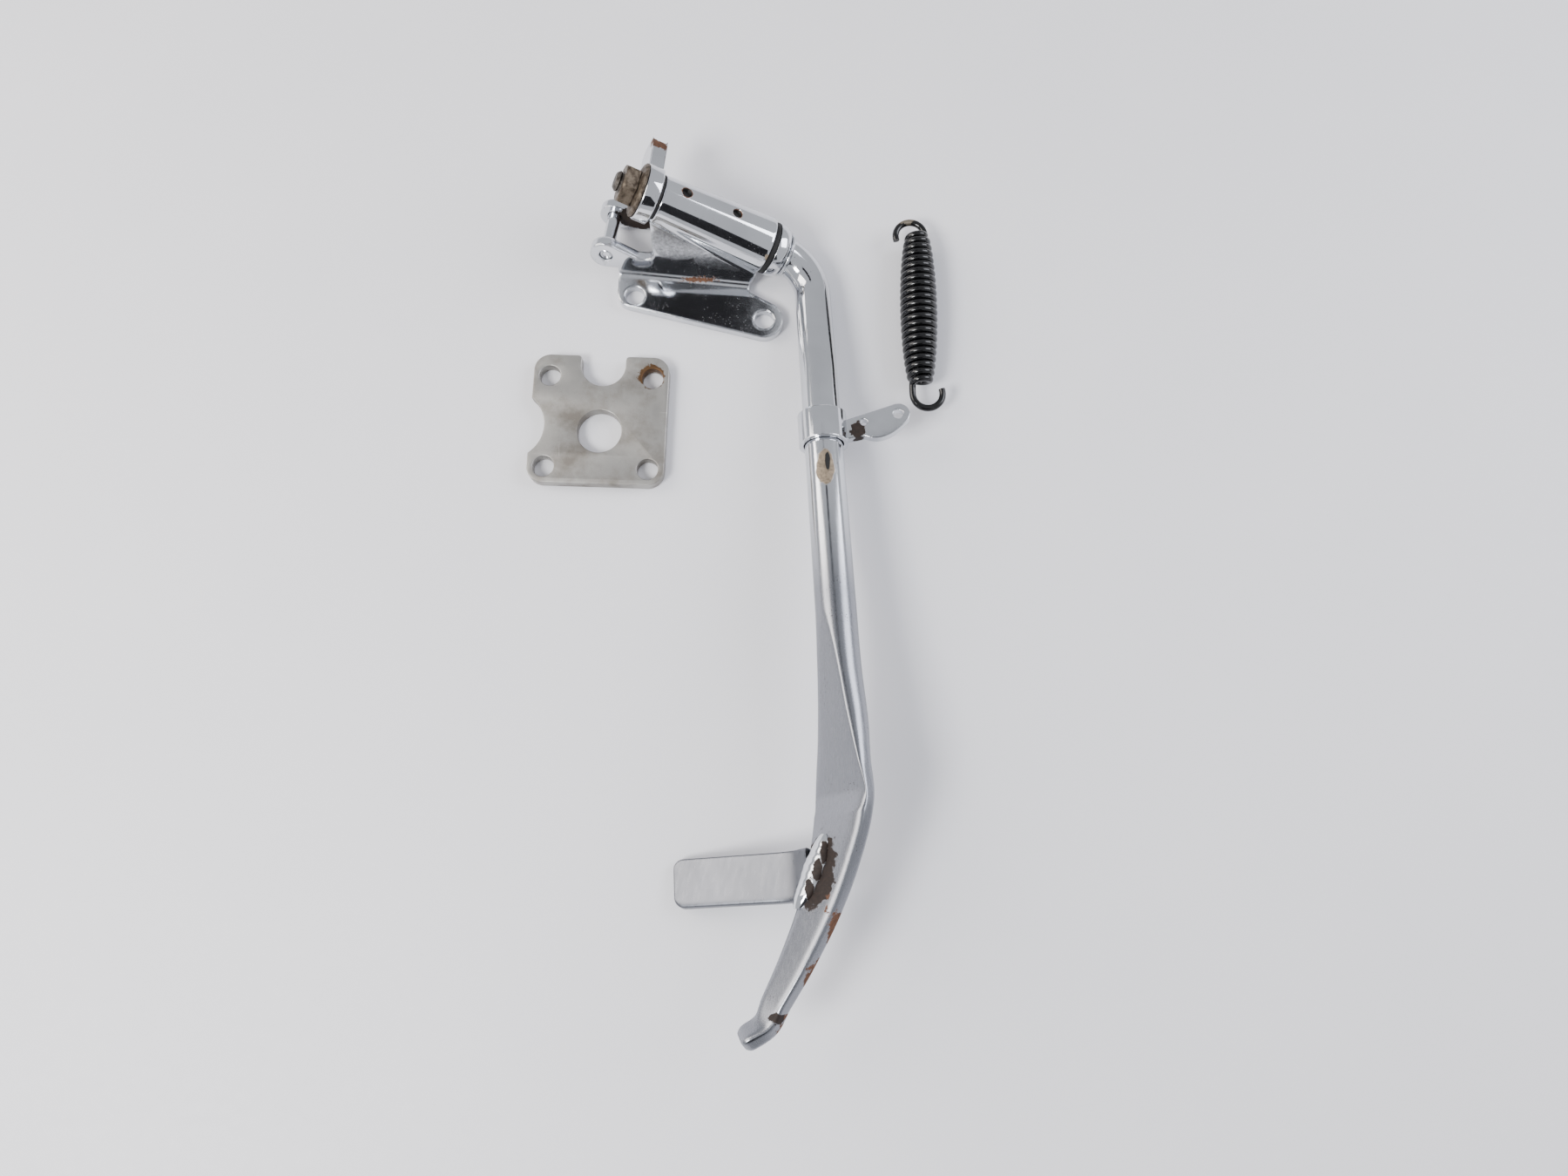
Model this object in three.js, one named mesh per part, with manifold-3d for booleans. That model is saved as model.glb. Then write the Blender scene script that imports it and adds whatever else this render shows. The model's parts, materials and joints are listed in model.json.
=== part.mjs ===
// A motorcycle kickstand laid out on a flat surface: the mounting bracket with its inclined pivot
// barrel, the leg that swings in the barrel, the return spring and the mounting plate beside it.
// Millimetres, +Z up. The origin is the centre of the bracket's bolt face, midway between its two
// bolt holes, level with the surface that everything lies on. The leg lies along -Y.
import * as THREE from "three";
import { mergeVertices } from "three/addons/utils/BufferGeometryUtils.js";
import Module from "manifold-3d";

const wasm = await Module();
wasm.setup();

// ---------------------------------------------------------------- driving dimensions

const roundSides = 40; // sides of a turned surface
const holeSides = 28; // sides of a small hole
const gap = 0.3; // clearance between pieces that touch on the real object
const overrun = 2; // how far a cutting tool runs past the face that it opens

// Bracket: a 5 mm plate, its bolt flange flat on the surface and its web bent up and leaning back.
const plateThickness = 5;
const sheetBlank = [60, 70, 160]; // flange depth, web height and length of the sheet before cutting
const boltPitch = 65.5; // between the two bolt holes
const boltHole = 9.6;
const boltSkew = -11.3; // degrees from +X to the line through the bolt holes
const leftLugRadius = 7.2;
const leftLugShift = 1.4; // the left lug's centre, out and back from its bolt hole
const rightLugRadius = 9.4;
const bendSkew = -5.95; // degrees from +X to the bend line
const bendBack = 14.7; // the bend line's distance behind the origin
const bendInside = 3.5; // inside radius of the bend
const webLean = 15.5; // degrees that the web leans back from upright
const webLeft = -22.5; // left edge of the web, along the bend line
const webRight = 25; // right end of the bend
const webScoopTop = 14; // height where the scooped right edge meets the barrel
const notchIn = 24.5; // the notch between flange and web, along the bend line
const notchDepth = 6.2; // the notch's corner, in front of the bend line
const rightLugEnd = 66; // degrees where the right lug's round turns into the notch's edge
const flangeBackLeft = -40.5; // back left corner of the flange, along the bend line
const armRootLeft = -38.5; // left end of the arm's straight lower edge

// Spring clevis: the web's own front ear, a rear ear plate and the pin between them.
const earAlong = -46; // ear centre, along the bend line from the origin
const earHeight = 11.3; // ear centre, up the web from the bend line
const earRadius = 7.8;
const armHeight = 11; // top edge of the front ear's arm, up the web
const cornerRadius = 4; // inside corner between arm and web edge
const pinDiameter = 6.4;
const pinCollar = 9.4; // diameter of the pin's domed rear head
const pinHeadHeight = 2.4;
const rearEarRadius = 7.2;
const rearEarThickness = 4.5;
const rearEarBottom = 4.2; // lower edge of the rear plate, up the web
const rearEarDrop = 6; // top edge of the rear plate, below the pivot axis
const rearEarReach = 12; // how far the rear plate follows the barrel, along the bend line
const rearEarHeel = -16.5; // where its lower edge turns up, along the bend line

// Pivot barrel, tangent to the web's front face and inclined in the web's plane.
const barrelDiameter = 23; // at its left end
const barrelFlare = 28.4; // diameter at its right end
const barrelLength = 57;
const barrelTilt = 25.5; // degrees below the bend line, downwards to the right
const barrelAlong = 5.5; // barrel's middle, along the bend line
const barrelHeight = 28.4; // barrel's middle, up the web from the bend line
const shaftDiameter = 15;
const bushWall = 1.4;
const bushLength = 9.5;
const greaseHole = 5;
const greaseHoleOffsets = [-18, 7.7]; // along the barrel from its middle
const greaseHoleTurn = 2.3; // degrees from straight up towards the front

// What the shaft carries outside the barrel's left end.
const sealThickness = 1;
const stopThickness = 7.3;
const stopDiameter = 27;
const stopTabReach = 33; // tip of the stop's tab behind the pivot axis
const stopTabTop = 6.4; // top of the tab's root, above the axis in the web's plane
const stopTabTip = 4; // top of the tab's tip, above the axis
const stopTabDepth = 12.3; // from the tab's top to its underside
const washerDiameter = 26;
const washerRim = 1.6;
const washerDish = 1;
const studDiameter = 10;
const studPitch = 1.5;
const studProtrusion = 3;
const studDepth = 14;
const nutAcrossFlats = 17;
const nutHeight = 6.6;
const nutTurn = 12; // degrees

// What the shaft carries outside the barrel's right end.
const thrustThickness = 2.5;
const thrustDiameter = 25.2;
const shoulderDiameter = 26;
const shoulderRim = 1.3;
const shoulderLength = 6.7;

// Leg: round bar out of the barrel, one bend, a straight run, then a forged flat blade and toe.
const restSwing = 2.9; // degrees that the leg has swung from square to the web
const barDiameter = 17.5;
const barSwell = 1.1; // how much thicker the bar is where the blade begins
const legBend = 78.6; // degrees
const legBendRadius = 22; // of the bar's centre line
const bendAhead = 25.5; // from the barrel's right end to where the axis meets the leg's line
const barSides = 28;
const bladeStart = 176; // where forging begins, along the leg from the pivot axis
const bladeLeadIn = 40; // length of round bar that the blade's first curve starts from
const kneeAt = 262; // the widest place, where the blade turns inwards
// Blade sections: distance along the leg, the section's place to the right of where the axis meets
// the leg's line and above it, its width and thickness, its turn in degrees, and how square its
// corners are (2 is an ellipse).
const bladeSections = [
  { along: 205, across: 41.6, above: -1.2, width: 21, thickness: 18.2, turn: 80, square: 2.1 },
  { along: 227, across: 47, above: -3.2, width: 26, thickness: 17, turn: 80, square: 2.3 },
  { along: 246, across: 50.2, above: -4.4, width: 29.5, thickness: 12.5, turn: 78, square: 3 },
  { along: kneeAt, across: 52.6, above: -4.8, width: 31.5, thickness: 8.6, turn: 76, square: 5 },
  { along: 284, across: 53, above: -8.7, width: 25.4, thickness: 8, turn: 72, square: 6 },
  { along: 306, across: 51, above: -14, width: 19.6, thickness: 7.6, turn: 67, square: 6 },
  { along: 327, across: 47.2, above: -21.2, width: 15.6, thickness: 7.2, turn: 66, square: 6 },
  { along: 344, across: 43.4, above: -28.5, width: 12.4, thickness: 6.8, turn: 64, square: 6 },
  { along: 353, across: 41.4, above: -32.2, width: 11, thickness: 7.2, turn: 62, square: 5 },
  { along: 360, across: 34.6, above: -38, width: 10.5, thickness: 7.6, turn: 60, square: 5 },
];
// The forged flat on the blade's left side: a plane through the point where its ridge begins.
const flatPoint = [28.3, 4.6, 182]; // from where the axis meets the leg's line
const flatNormal = [-0.924, 0.256, 0.285];

// Spring tab: a band round the bar with a flat ear for the spring's hook.
const bandStart = 82.5; // along the leg
const bandLength = 15.5;
const bandWall = 2;
const tabTurn = 33; // degrees that the ear rises from the leg's outer side
const tabThickness = 4;
const tabReach = 36; // hook hole, from the bar's centre
const tabHookHole = 4.8;
const tabSmallHole = 3.4;
const tabTip = 5.4; // radius of the ear's tip
const tabHookUp = 4; // hook hole, above the band's lower end
const tabRootUp = 4.5; // lower edge of the ear at the band
const tabSmallOut = 8; // small hole, outside the band
const tabSmallUp = 6.5; // small hole, above the band's lower end
const tabBack = [7, 15]; // the control point of the ear's curved back, from the hook hole

// Step arm: the flat bar that a boot pushes, welded to the blade's left face.
const armThickness = 3.6;
const armWidth = 21;
const armPlace = 291; // middle of the arm, along the leg
const armRootLength = 9; // from the blade to the arm's elbow
const armLength = 57.5; // from the elbow to the tip
const armSweep = 5.5; // how much farther along the leg the tip lies than the root
const armTurn = 52.1; // degrees of the straight run, measured as the blade's turn is
const armSunk = 0.5; // the arm's face lies this much below the blade's face
const weldLength = 31;
const weldWidth = 10.5;
const weldHeight = 3;
const weldInset = [6.5, -1]; // the bead's middle inside the blade's edge, at its two ends

// Return spring: close-wound, barrel-shaped, with an open hook at each end.
const springWire = 3.3;
const springCoils = 22.5;
const springPitch = 3.45;
const springMiddle = 18.6; // outside diameter at the middle
const springEnds = 11.2; // outside diameter at the ends
const springHook = 7.3; // hook radius, to the wire's centre
const springLeads = [0.3, 5.6]; // straight wire between the coils and the near and far hooks
const springHookTurn = 200; // degrees
const springPlace = [108.2, 36.2]; // start of the coils
const springSides = 6;
const springStepsPerTurn = 10;

// Mounting plate: a flat spacer with four bolt holes, a centre hole and two notches.
const spacerThickness = 6.35;
const spacerPitchX = 50.2;
const spacerPitchY = 46.3;
const spacerHole = 10.3;
const spacerCentreHole = 21.6;
const spacerHolesRight = -0.7; // hole pattern's middle, from the centre hole
const spacerHolesUp = 4.6;
const spacerMargin = 8; // metal outside a bolt hole's centre
const spacerTopNotch = 10.8; // radius of the notch in the far edge
const spacerTopNotchUp = 34; // its centre, from the centre hole
const spacerSideNotch = 17.8; // radius of the notch in the left edge
const spacerSideNotchDepth = 6.9;
const spacerPlace = [-47.4, -64.8];
const spacerSkew = -1.94; // degrees

// ---------------------------------------------------------------- looks

const look = (color, roughness, metalness) => ({ color, roughness, metalness });
const chrome = look(0xc9ccd2, 0.12, 1);
const satinChrome = look(0xb4b7bd, 0.32, 1);
const rawSteel = look(0x8b8985, 0.5, 0.9);
const dirtyZinc = look(0x8c7f6c, 0.65, 0.7);
const darkThread = look(0x4a4644, 0.6, 0.8);
const oilyBronze = look(0x8a6a3a, 0.45, 0.9);
const blackRubber = look(0x141416, 0.8, 0);
const blackPaint = look(0x101012, 0.25, 0.1);

// ---------------------------------------------------------------- helpers

const radians = THREE.MathUtils.degToRad;

// A closed geometry as a solid that can be cut and joined.
function solid(geometry) {
  const bare = geometry.clone();
  bare.deleteAttribute("normal");
  bare.deleteAttribute("uv");
  const merged = mergeVertices(bare, 1e-4);
  return new wasm.Manifold(
    new wasm.Mesh({
      numProp: 3,
      vertProperties: merged.attributes.position.array,
      triVerts: new Uint32Array(merged.index.array),
    }),
  );
}

function geometryOf(shape) {
  const { numProp, vertProperties, triVerts } = shape.getMesh();
  const geometry = new THREE.BufferGeometry();
  geometry.setAttribute("position", new THREE.BufferAttribute(vertProperties, numProp));
  geometry.setIndex(new THREE.BufferAttribute(triVerts, 1));
  return geometry;
}

function cut(base, ...tools) {
  return geometryOf(tools.reduce((left, tool) => left.subtract(solid(tool)), solid(base)));
}

function join(...parts) {
  return geometryOf(parts.map(solid).reduce((whole, part) => whole.add(part)));
}

function overlap(a, b) {
  return geometryOf(solid(a).intersect(solid(b)));
}

function addPiece(parent, name, geometry, { color, roughness, metalness }) {
  const material = new THREE.MeshStandardMaterial({ color, roughness, metalness });
  material.flatShading = true;
  const mesh = new THREE.Mesh(geometry, material);
  mesh.name = name;
  parent.add(mesh);
  return mesh;
}

// A profile of [x, radius] points turned about the X axis. The outer side runs towards +X.
function turned(profile, sides = roundSides) {
  const points = profile.map(([x, radius]) => new THREE.Vector2(radius, x));
  return new THREE.LatheGeometry(points, sides).rotateZ(-Math.PI / 2);
}

// A plain ring about the X axis from one x to another.
function ring(from, to, outer, inner) {
  return turned([[from, inner], [from, outer], [to, outer], [to, inner], [from, inner]]);
}

// A cylinder about the X axis, used as a cutting tool and for pins.
function rodX(from, to, radius, sides = holeSides) {
  return new THREE.CylinderGeometry(radius, radius, to - from, sides)
    .rotateZ(-Math.PI / 2)
    .translate((from + to) / 2, 0, 0);
}

// The outline's points, without the doubles where an arc starts on the end of a line.
function distinctPoints(path, curveSegments) {
  const points = path.getPoints(curveSegments);
  return points.filter((p, i) => p.distanceTo(points[(i + 1) % points.length]) > 1e-3);
}

// A flat outline given a thickness along +Z from z = from.
function slab(shape, from, thickness, curveSegments = 10) {
  const outline = new THREE.Shape(distinctPoints(shape, curveSegments));
  outline.holes = shape.holes.map((hole) => new THREE.Path(distinctPoints(hole, curveSegments)));
  const options = { depth: thickness, bevelEnabled: false };
  return new THREE.ExtrudeGeometry(outline, options).translate(0, 0, from);
}

function circleHole(x, y, radius) {
  const hole = new THREE.Path();
  hole.absarc(x, y, radius, 0, 2 * Math.PI, true);
  return hole;
}

// Closed skin over a row of equal rings of points, with a flat fan at each end.
function loft(rings) {
  const sides = rings[0].length;
  const points = rings.flat();
  const last = (rings.length - 1) * sides;
  const middle = (loop) => loop.reduce((sum, p) => sum.add(p), new THREE.Vector3()).divideScalar(sides);
  points.push(middle(rings[0]), middle(rings[rings.length - 1]));
  const triangles = [];
  for (let side = 0; side < sides; side++) {
    const next = (side + 1) % sides;
    for (let row = 0; row < last; row += sides) {
      triangles.push(row + side, row + next, row + sides + next);
      triangles.push(row + side, row + sides + next, row + sides + side);
    }
    triangles.push(points.length - 2, next, side);
    triangles.push(points.length - 1, last + side, last + next);
  }
  return new THREE.BufferGeometry().setFromPoints(points).setIndex(triangles);
}

// ---------------------------------------------------------------- frames

const stand = new THREE.Group();

// Web frame: x along the bend line, y up the web, z out of the web's front face.
const webFrame = new THREE.Group();
webFrame.position.set(0, bendBack, plateThickness);
webFrame.rotation.set(radians(90 - webLean), 0, radians(bendSkew), "ZYX");
stand.add(webFrame);

// Pivot frame: x along the pivot axis to the right, y up in the web's plane, z to the front.
const pivotFrame = new THREE.Group();
const barrelRadius = barrelDiameter / 2;
pivotFrame.position.set(barrelAlong, barrelHeight, -barrelRadius);
pivotFrame.rotation.z = radians(-barrelTilt);
webFrame.add(pivotFrame);

// Leg frame: the pivot frame turned by the leg's swing. The leg runs along +Z, leaning to +X.
const legFrame = new THREE.Group();
legFrame.rotation.x = radians(restSwing);
pivotFrame.add(legFrame);
stand.updateMatrixWorld(true);

const inWebFrame = (geometry) => geometry.applyMatrix4(pivotFrame.matrix);
const half = barrelLength / 2;
const flareRadius = barrelFlare / 2;
const shaftRadius = shaftDiameter / 2;
const boreRadius = shaftRadius + gap + bushWall + gap;

// ---------------------------------------------------------------- bracket

// Cross-section across the bend: x towards the back, y up from the surface.
function bendProfile(flangeDepth, webHeight) {
  const turn = radians(90 - webLean);
  const tangent = bendInside * Math.tan(turn / 2);
  const centre = new THREE.Vector2(-tangent, plateThickness + bendInside);
  const outside = bendInside + plateThickness;
  const up = new THREE.Vector2(Math.sin(radians(webLean)), Math.cos(radians(webLean)));
  const back = new THREE.Vector2(up.y, -up.x).multiplyScalar(plateThickness);
  const top = up.clone().multiplyScalar(webHeight).add(new THREE.Vector2(0, plateThickness));
  const shape = new THREE.Shape();
  shape.moveTo(-flangeDepth, 0);
  shape.lineTo(centre.x, 0);
  shape.absarc(centre.x, centre.y, outside, -Math.PI / 2, -Math.PI / 2 + turn, false);
  shape.lineTo(top.x + back.x, top.y + back.y);
  shape.lineTo(top.x, top.y);
  shape.absarc(centre.x, centre.y, bendInside, -Math.PI / 2 + turn, -Math.PI / 2, true);
  shape.lineTo(-flangeDepth, plateThickness);
  shape.closePath();
  return shape;
}

// The bent sheet before it is cut to outline.
function bentSheet() {
  const [depth, height, length] = sheetBlank;
  const skew = radians(bendSkew);
  const back = new THREE.Vector3(-Math.sin(skew), Math.cos(skew), 0);
  const up = new THREE.Vector3(0, 0, 1);
  const along = new THREE.Vector3(Math.cos(skew), Math.sin(skew), 0);
  const frame = new THREE.Matrix4().makeBasis(back, up, along).setPosition(0, bendBack, 0);
  return slab(bendProfile(depth, height), -length / 2, length).applyMatrix4(frame);
}

// Flange outline seen from above: two bolt lugs, a straight front edge and the bend at the back.
function flangeOutline() {
  const skew = radians(boltSkew);
  const bolt = new THREE.Vector2(Math.cos(skew), Math.sin(skew)).multiplyScalar(boltPitch / 2);
  const bend = radians(bendSkew);
  const onBend = (x) => new THREE.Vector2(
    x * Math.cos(bend) - bendInside * Math.sin(bend),
    bendBack + x * Math.sin(bend) + (bendInside + plateThickness) * Math.cos(bend),
  );
  const left = onBend(flangeBackLeft);
  const right = onBend(webRight);
  const notch = new THREE.Vector2(notchIn, bendBack - notchDepth);
  const shape = new THREE.Shape();
  shape.moveTo(right.x, right.y);
  shape.lineTo(left.x, left.y);
  const lug = new THREE.Vector2(-bolt.x - leftLugShift, -bolt.y + leftLugShift);
  shape.absarc(lug.x, lug.y, leftLugRadius, Math.PI, skew - Math.PI / 2, false);
  shape.absarc(bolt.x, bolt.y, rightLugRadius, skew - Math.PI / 2, radians(rightLugEnd), false);
  shape.lineTo(notch.x, notch.y);
  shape.closePath();
  shape.holes.push(circleHole(-bolt.x, -bolt.y, boltHole / 2));
  shape.holes.push(circleHole(bolt.x, bolt.y, boltHole / 2));
  return shape;
}

// Web outline in the web frame: upright left edge with the ear's arm, and a scooped right edge.
function webOutline() {
  const slope = Math.tan(radians(-barrelTilt));
  const topAt = (x) => barrelHeight + (x - barrelAlong) * slope;
  const rightTop = barrelAlong + (half - 1) * Math.cos(radians(barrelTilt));
  const armBottom = earHeight - earRadius;
  const shape = new THREE.Shape();
  shape.moveTo(armRootLeft, -plateThickness);
  shape.lineTo(webRight, -plateThickness);
  shape.lineTo(webRight, 0);
  shape.quadraticCurveTo(webRight + 3, webScoopTop / 2, rightTop, webScoopTop);
  shape.lineTo(rightTop, topAt(rightTop));
  shape.lineTo(webLeft, topAt(webLeft));
  shape.lineTo(webLeft, armHeight + cornerRadius);
  shape.absarc(webLeft - cornerRadius, armHeight + cornerRadius, cornerRadius, 0, -Math.PI / 2, true);
  shape.lineTo(webLeft - 2 * cornerRadius, armHeight);
  shape.absarc(earAlong, earHeight, earRadius, radians(48), radians(265), false);
  shape.lineTo(armRootLeft, armBottom);
  shape.closePath();
  return shape;
}

function bracketPlate() {
  const toWeb = (geometry) => geometry.applyMatrix4(webFrame.matrix);
  const sheet = bentSheet();
  const flangeReach = overrun + 2 * plateThickness + overrun;
  const webReach = overrun + 2 * plateThickness;
  const flange = overlap(sheet, slab(flangeOutline(), -overrun, flangeReach));
  const web = overlap(sheet, toWeb(slab(webOutline(), -plateThickness - overrun, webReach)));
  const slope = (flareRadius - barrelRadius) / barrelLength;
  const past = plateThickness * 4;
  const seat = turned([
    [-half - past, 0],
    [-half - past, barrelRadius + gap],
    [-half, barrelRadius + gap],
    [half + past, flareRadius + gap + slope * past],
    [half + past, 0],
  ]);
  const barrelSeat = toWeb(inWebFrame(seat));
  const pinHole = rodX(-plateThickness - overrun, overrun, pinDiameter / 2 + gap).rotateY(-Math.PI / 2);
  const ear = toWeb(pinHole.translate(earAlong, earHeight, 0));
  return cut(join(flange, web), barrelSeat, ear);
}

// The rear ear: a plate parallel to the web, behind the barrel, that carries the pin's far end.
// Its arm stays below the sweep of the stop's tab and rises only beside the barrel.
function rearEarOutline() {
  const tilt = radians(barrelTilt);
  const point = (along, up) => [
    barrelAlong + along * Math.cos(tilt) + up * Math.sin(tilt),
    barrelHeight - along * Math.sin(tilt) + up * Math.cos(tilt),
  ];
  const besideStop = -half - gap;
  const ear = [earAlong - barrelAlong, earHeight - barrelHeight];
  const armTop = ear[0] * Math.sin(tilt) + ear[1] * Math.cos(tilt) + rearEarRadius;
  const shape = new THREE.Shape();
  shape.moveTo(earAlong + rearEarRadius, rearEarBottom);
  shape.lineTo(rearEarHeel, rearEarBottom);
  shape.lineTo(...point(rearEarReach, -flareRadius));
  shape.lineTo(...point(rearEarReach, -rearEarDrop));
  shape.lineTo(...point(besideStop, -rearEarDrop));
  shape.lineTo(...point(besideStop, armTop));
  shape.absarc(earAlong, earHeight, rearEarRadius, Math.PI / 2 - tilt, 1.5 * Math.PI, false);
  shape.holes.push(circleHole(earAlong, earHeight, pinDiameter / 2 + gap));
  return shape;
}

const rearEarFront = -barrelRadius - flareRadius - gap;

function rearEarPlate() {
  return slab(rearEarOutline(), rearEarFront - rearEarThickness, rearEarThickness);
}

// The anchor pin: peened flush in the front ear, with a low domed head behind the rear ear.
function anchorPin() {
  const radius = pinDiameter / 2;
  const rear = rearEarFront - rearEarThickness - gap;
  const head = pinCollar / 2;
  const profile = [
    [rear - pinHeadHeight, 0],
    [rear - pinHeadHeight, head * 0.45],
    [rear - pinHeadHeight * 0.7, head * 0.85],
    [rear - pinHeadHeight * 0.25, head],
    [rear, head],
    [rear, radius],
    [-1, radius],
    [-0.2, radius - 0.8],
    [-0.9, radius * 0.5],
    [-0.9, 0],
  ];
  return turned(profile, 24).rotateY(-Math.PI / 2).translate(earAlong, earHeight, 0);
}

// ---------------------------------------------------------------- barrel and what is in it

// The barrel's wall: straight bored, and flared outside towards its right end.
function pivotBarrel() {
  const lip = 0.8;
  const wall = turned([
    [-half, boreRadius + lip / 2],
    [-half, barrelRadius - lip / 2],
    [-half + lip / 2, barrelRadius],
    [half - lip / 2, flareRadius],
    [half, flareRadius - lip / 2],
    [half, boreRadius + lip / 2],
    [half - lip / 2, boreRadius],
    [-half + lip / 2, boreRadius],
    [-half, boreRadius + lip / 2],
  ]);
  const drills = greaseHoleOffsets.map((offset) =>
    new THREE.CylinderGeometry(greaseHole / 2, greaseHole / 2, barrelFlare, 16)
      .translate(0, barrelFlare / 2, 0)
      .rotateX(radians(greaseHoleTurn))
      .translate(offset, 0, 0),
  );
  return cut(wall, ...drills);
}

function bush(from) {
  return ring(from, from + bushLength, boreRadius - gap, shaftRadius + gap);
}

// ---------------------------------------------------------------- left end of the shaft

const sealLeft = -half - gap - sealThickness;
const stopRight = sealLeft - gap;
const stopLeft = stopRight - stopThickness;
const shaftEnd = stopLeft + 0.5;
const washerRight = stopLeft - gap;
const washerLeft = washerRight - washerRim - washerDish;
const nutRight = washerLeft - gap;
const nutLeft = nutRight - nutHeight;

// The leg stop: a ring keyed on the shaft, with a tab that meets the rear ear plate.
function legStop() {
  const radius = stopDiameter / 2;
  const edge = 0.6;
  const body = turned([
    [stopLeft, shaftRadius + gap],
    [stopLeft, radius - edge],
    [stopLeft + edge, radius],
    [stopRight - edge, radius],
    [stopRight, radius - edge],
    [stopRight, shaftRadius + gap],
    [stopLeft, shaftRadius + gap],
  ]);
  const root = radius * 0.8;
  const outline = new THREE.Shape();
  outline.moveTo(stopTabTop, root);
  outline.lineTo(stopTabTip, stopTabReach);
  outline.lineTo(stopTabTip - stopTabDepth, stopTabReach - 2);
  outline.lineTo(stopTabTop - stopTabDepth - 2, root);
  outline.closePath();
  const frame = new THREE.Matrix4().makeBasis(
    new THREE.Vector3(0, 1, 0),
    new THREE.Vector3(0, 0, -1),
    new THREE.Vector3(-1, 0, 0),
  );
  const tab = slab(outline, 0, stopThickness).applyMatrix4(frame).translate(stopRight, 0, 0);
  return join(body, tab);
}

// The dished washer under the nut, hollow towards the stop.
function dishedWasher() {
  const radius = washerDiameter / 2;
  const bore = studDiameter / 2 + gap;
  return turned([
    [washerLeft, bore],
    [washerLeft, nutAcrossFlats / 2],
    [washerLeft + washerDish, radius - 1],
    [washerLeft + washerDish + 0.8, radius],
    [washerRight, radius],
    [washerRight, radius - 1.5],
    [washerRight - 0.6, nutAcrossFlats / 2],
    [washerRight - 0.6, bore],
    [washerLeft, bore],
  ]);
}

// A hexagon nut with its corners chamfered by a turned envelope.
function pivotNut() {
  const corner = nutAcrossFlats / Math.sqrt(3);
  const flat = nutAcrossFlats / 2;
  const chamfer = corner - flat;
  const hexagon = rodX(nutLeft, nutRight, corner, 6).rotateX(radians(nutTurn));
  const envelope = turned([
    [nutLeft, 0],
    [nutLeft, flat],
    [nutLeft + chamfer, corner + 0.1],
    [nutRight, corner + 0.1],
    [nutRight, 0],
  ]);
  const bore = rodX(nutLeft - overrun, nutRight + overrun, studDiameter / 2 + gap);
  return cut(overlap(hexagon, envelope), bore);
}

// The stud with its thread drawn as close rings where it shows, plain where it is screwed in.
function threadedStud() {
  const radius = studDiameter / 2;
  const core = radius - 0.6;
  const end = nutLeft - studProtrusion;
  const profile = [[end, 0], [end, core - 0.8]];
  for (let x = end + 0.8; x < nutLeft + 2 * studPitch; x += studPitch) {
    profile.push([x, core], [x + studPitch / 2, radius]);
  }
  profile.push([nutLeft + 3 * studPitch, core]);
  profile.push([shaftEnd + studDepth, core]);
  profile.push([shaftEnd + studDepth, 0]);
  return turned(profile, 32);
}

// ---------------------------------------------------------------- right end of the shaft

const thrustLeft = half + gap;
const thrustRight = thrustLeft + thrustThickness;
const shoulderLeft = thrustRight + gap;
const barRadius = barDiameter / 2;
const barStart = shoulderLeft + 0.8;

// The shoulder: a rim that faces the barrel and a dome that falls to the bar.
function legShoulder() {
  const radius = shoulderDiameter / 2;
  const bore = barRadius + gap;
  const tip = bore + 0.7;
  const profile = [[shoulderLeft, bore], [shoulderLeft, radius - 0.5], [shoulderLeft + 0.5, radius]];
  const domeSteps = 6;
  const domeLength = shoulderLength - shoulderRim;
  for (let step = 0; step <= domeSteps; step++) {
    const angle = (Math.PI / 2) * (step / domeSteps);
    const x = shoulderLeft + shoulderRim + domeLength * Math.sin(angle);
    profile.push([x, tip + (radius - tip) * Math.cos(angle)]);
  }
  profile.push([shoulderLeft + shoulderLength, bore], [shoulderLeft, bore]);
  return turned(profile);
}

// ---------------------------------------------------------------- leg

const bendAngle = radians(legBend);
const legCorner = half + bendAhead;
const barSwollen = barDiameter + barSwell;
const bendTangent = legBendRadius * Math.tan(bendAngle / 2);
const legLine = new THREE.Vector3(Math.cos(bendAngle), 0, Math.sin(bendAngle));
const legPoint = (along) =>
  new THREE.Vector3(legCorner, 0, 0).addScaledVector(legLine, along / legLine.z);

// A point of the bar's centre line in the bend, by the angle turned so far.
function bendPoint(angle) {
  const x = legCorner - bendTangent + legBendRadius * Math.sin(angle);
  return new THREE.Vector3(x, 0, legBendRadius * (1 - Math.cos(angle)));
}

// One ring of the bar: a superellipse in the plane across the given direction.
function barRing(centre, direction, { width, thickness, turn, square }) {
  const wide = new THREE.Vector3(Math.cos(radians(turn)), Math.sin(radians(turn)), 0);
  wide.addScaledVector(direction, -wide.dot(direction)).normalize();
  const deep = new THREE.Vector3().crossVectors(direction, wide);
  const power = 2 / square;
  const loop = [];
  for (let side = 0; side < barSides; side++) {
    const angle = (2 * Math.PI * side) / barSides;
    const x = Math.sign(Math.cos(angle)) * Math.abs(Math.cos(angle)) ** power;
    const y = Math.sign(Math.sin(angle)) * Math.abs(Math.sin(angle)) ** power;
    const point = centre.clone();
    point.addScaledVector(wide, (x * width) / 2).addScaledVector(deep, (y * thickness) / 2);
    loop.push(point);
  }
  return loop;
}

const roundBar = (diameter) => ({ width: diameter, thickness: diameter, turn: 80, square: 2 });

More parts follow.
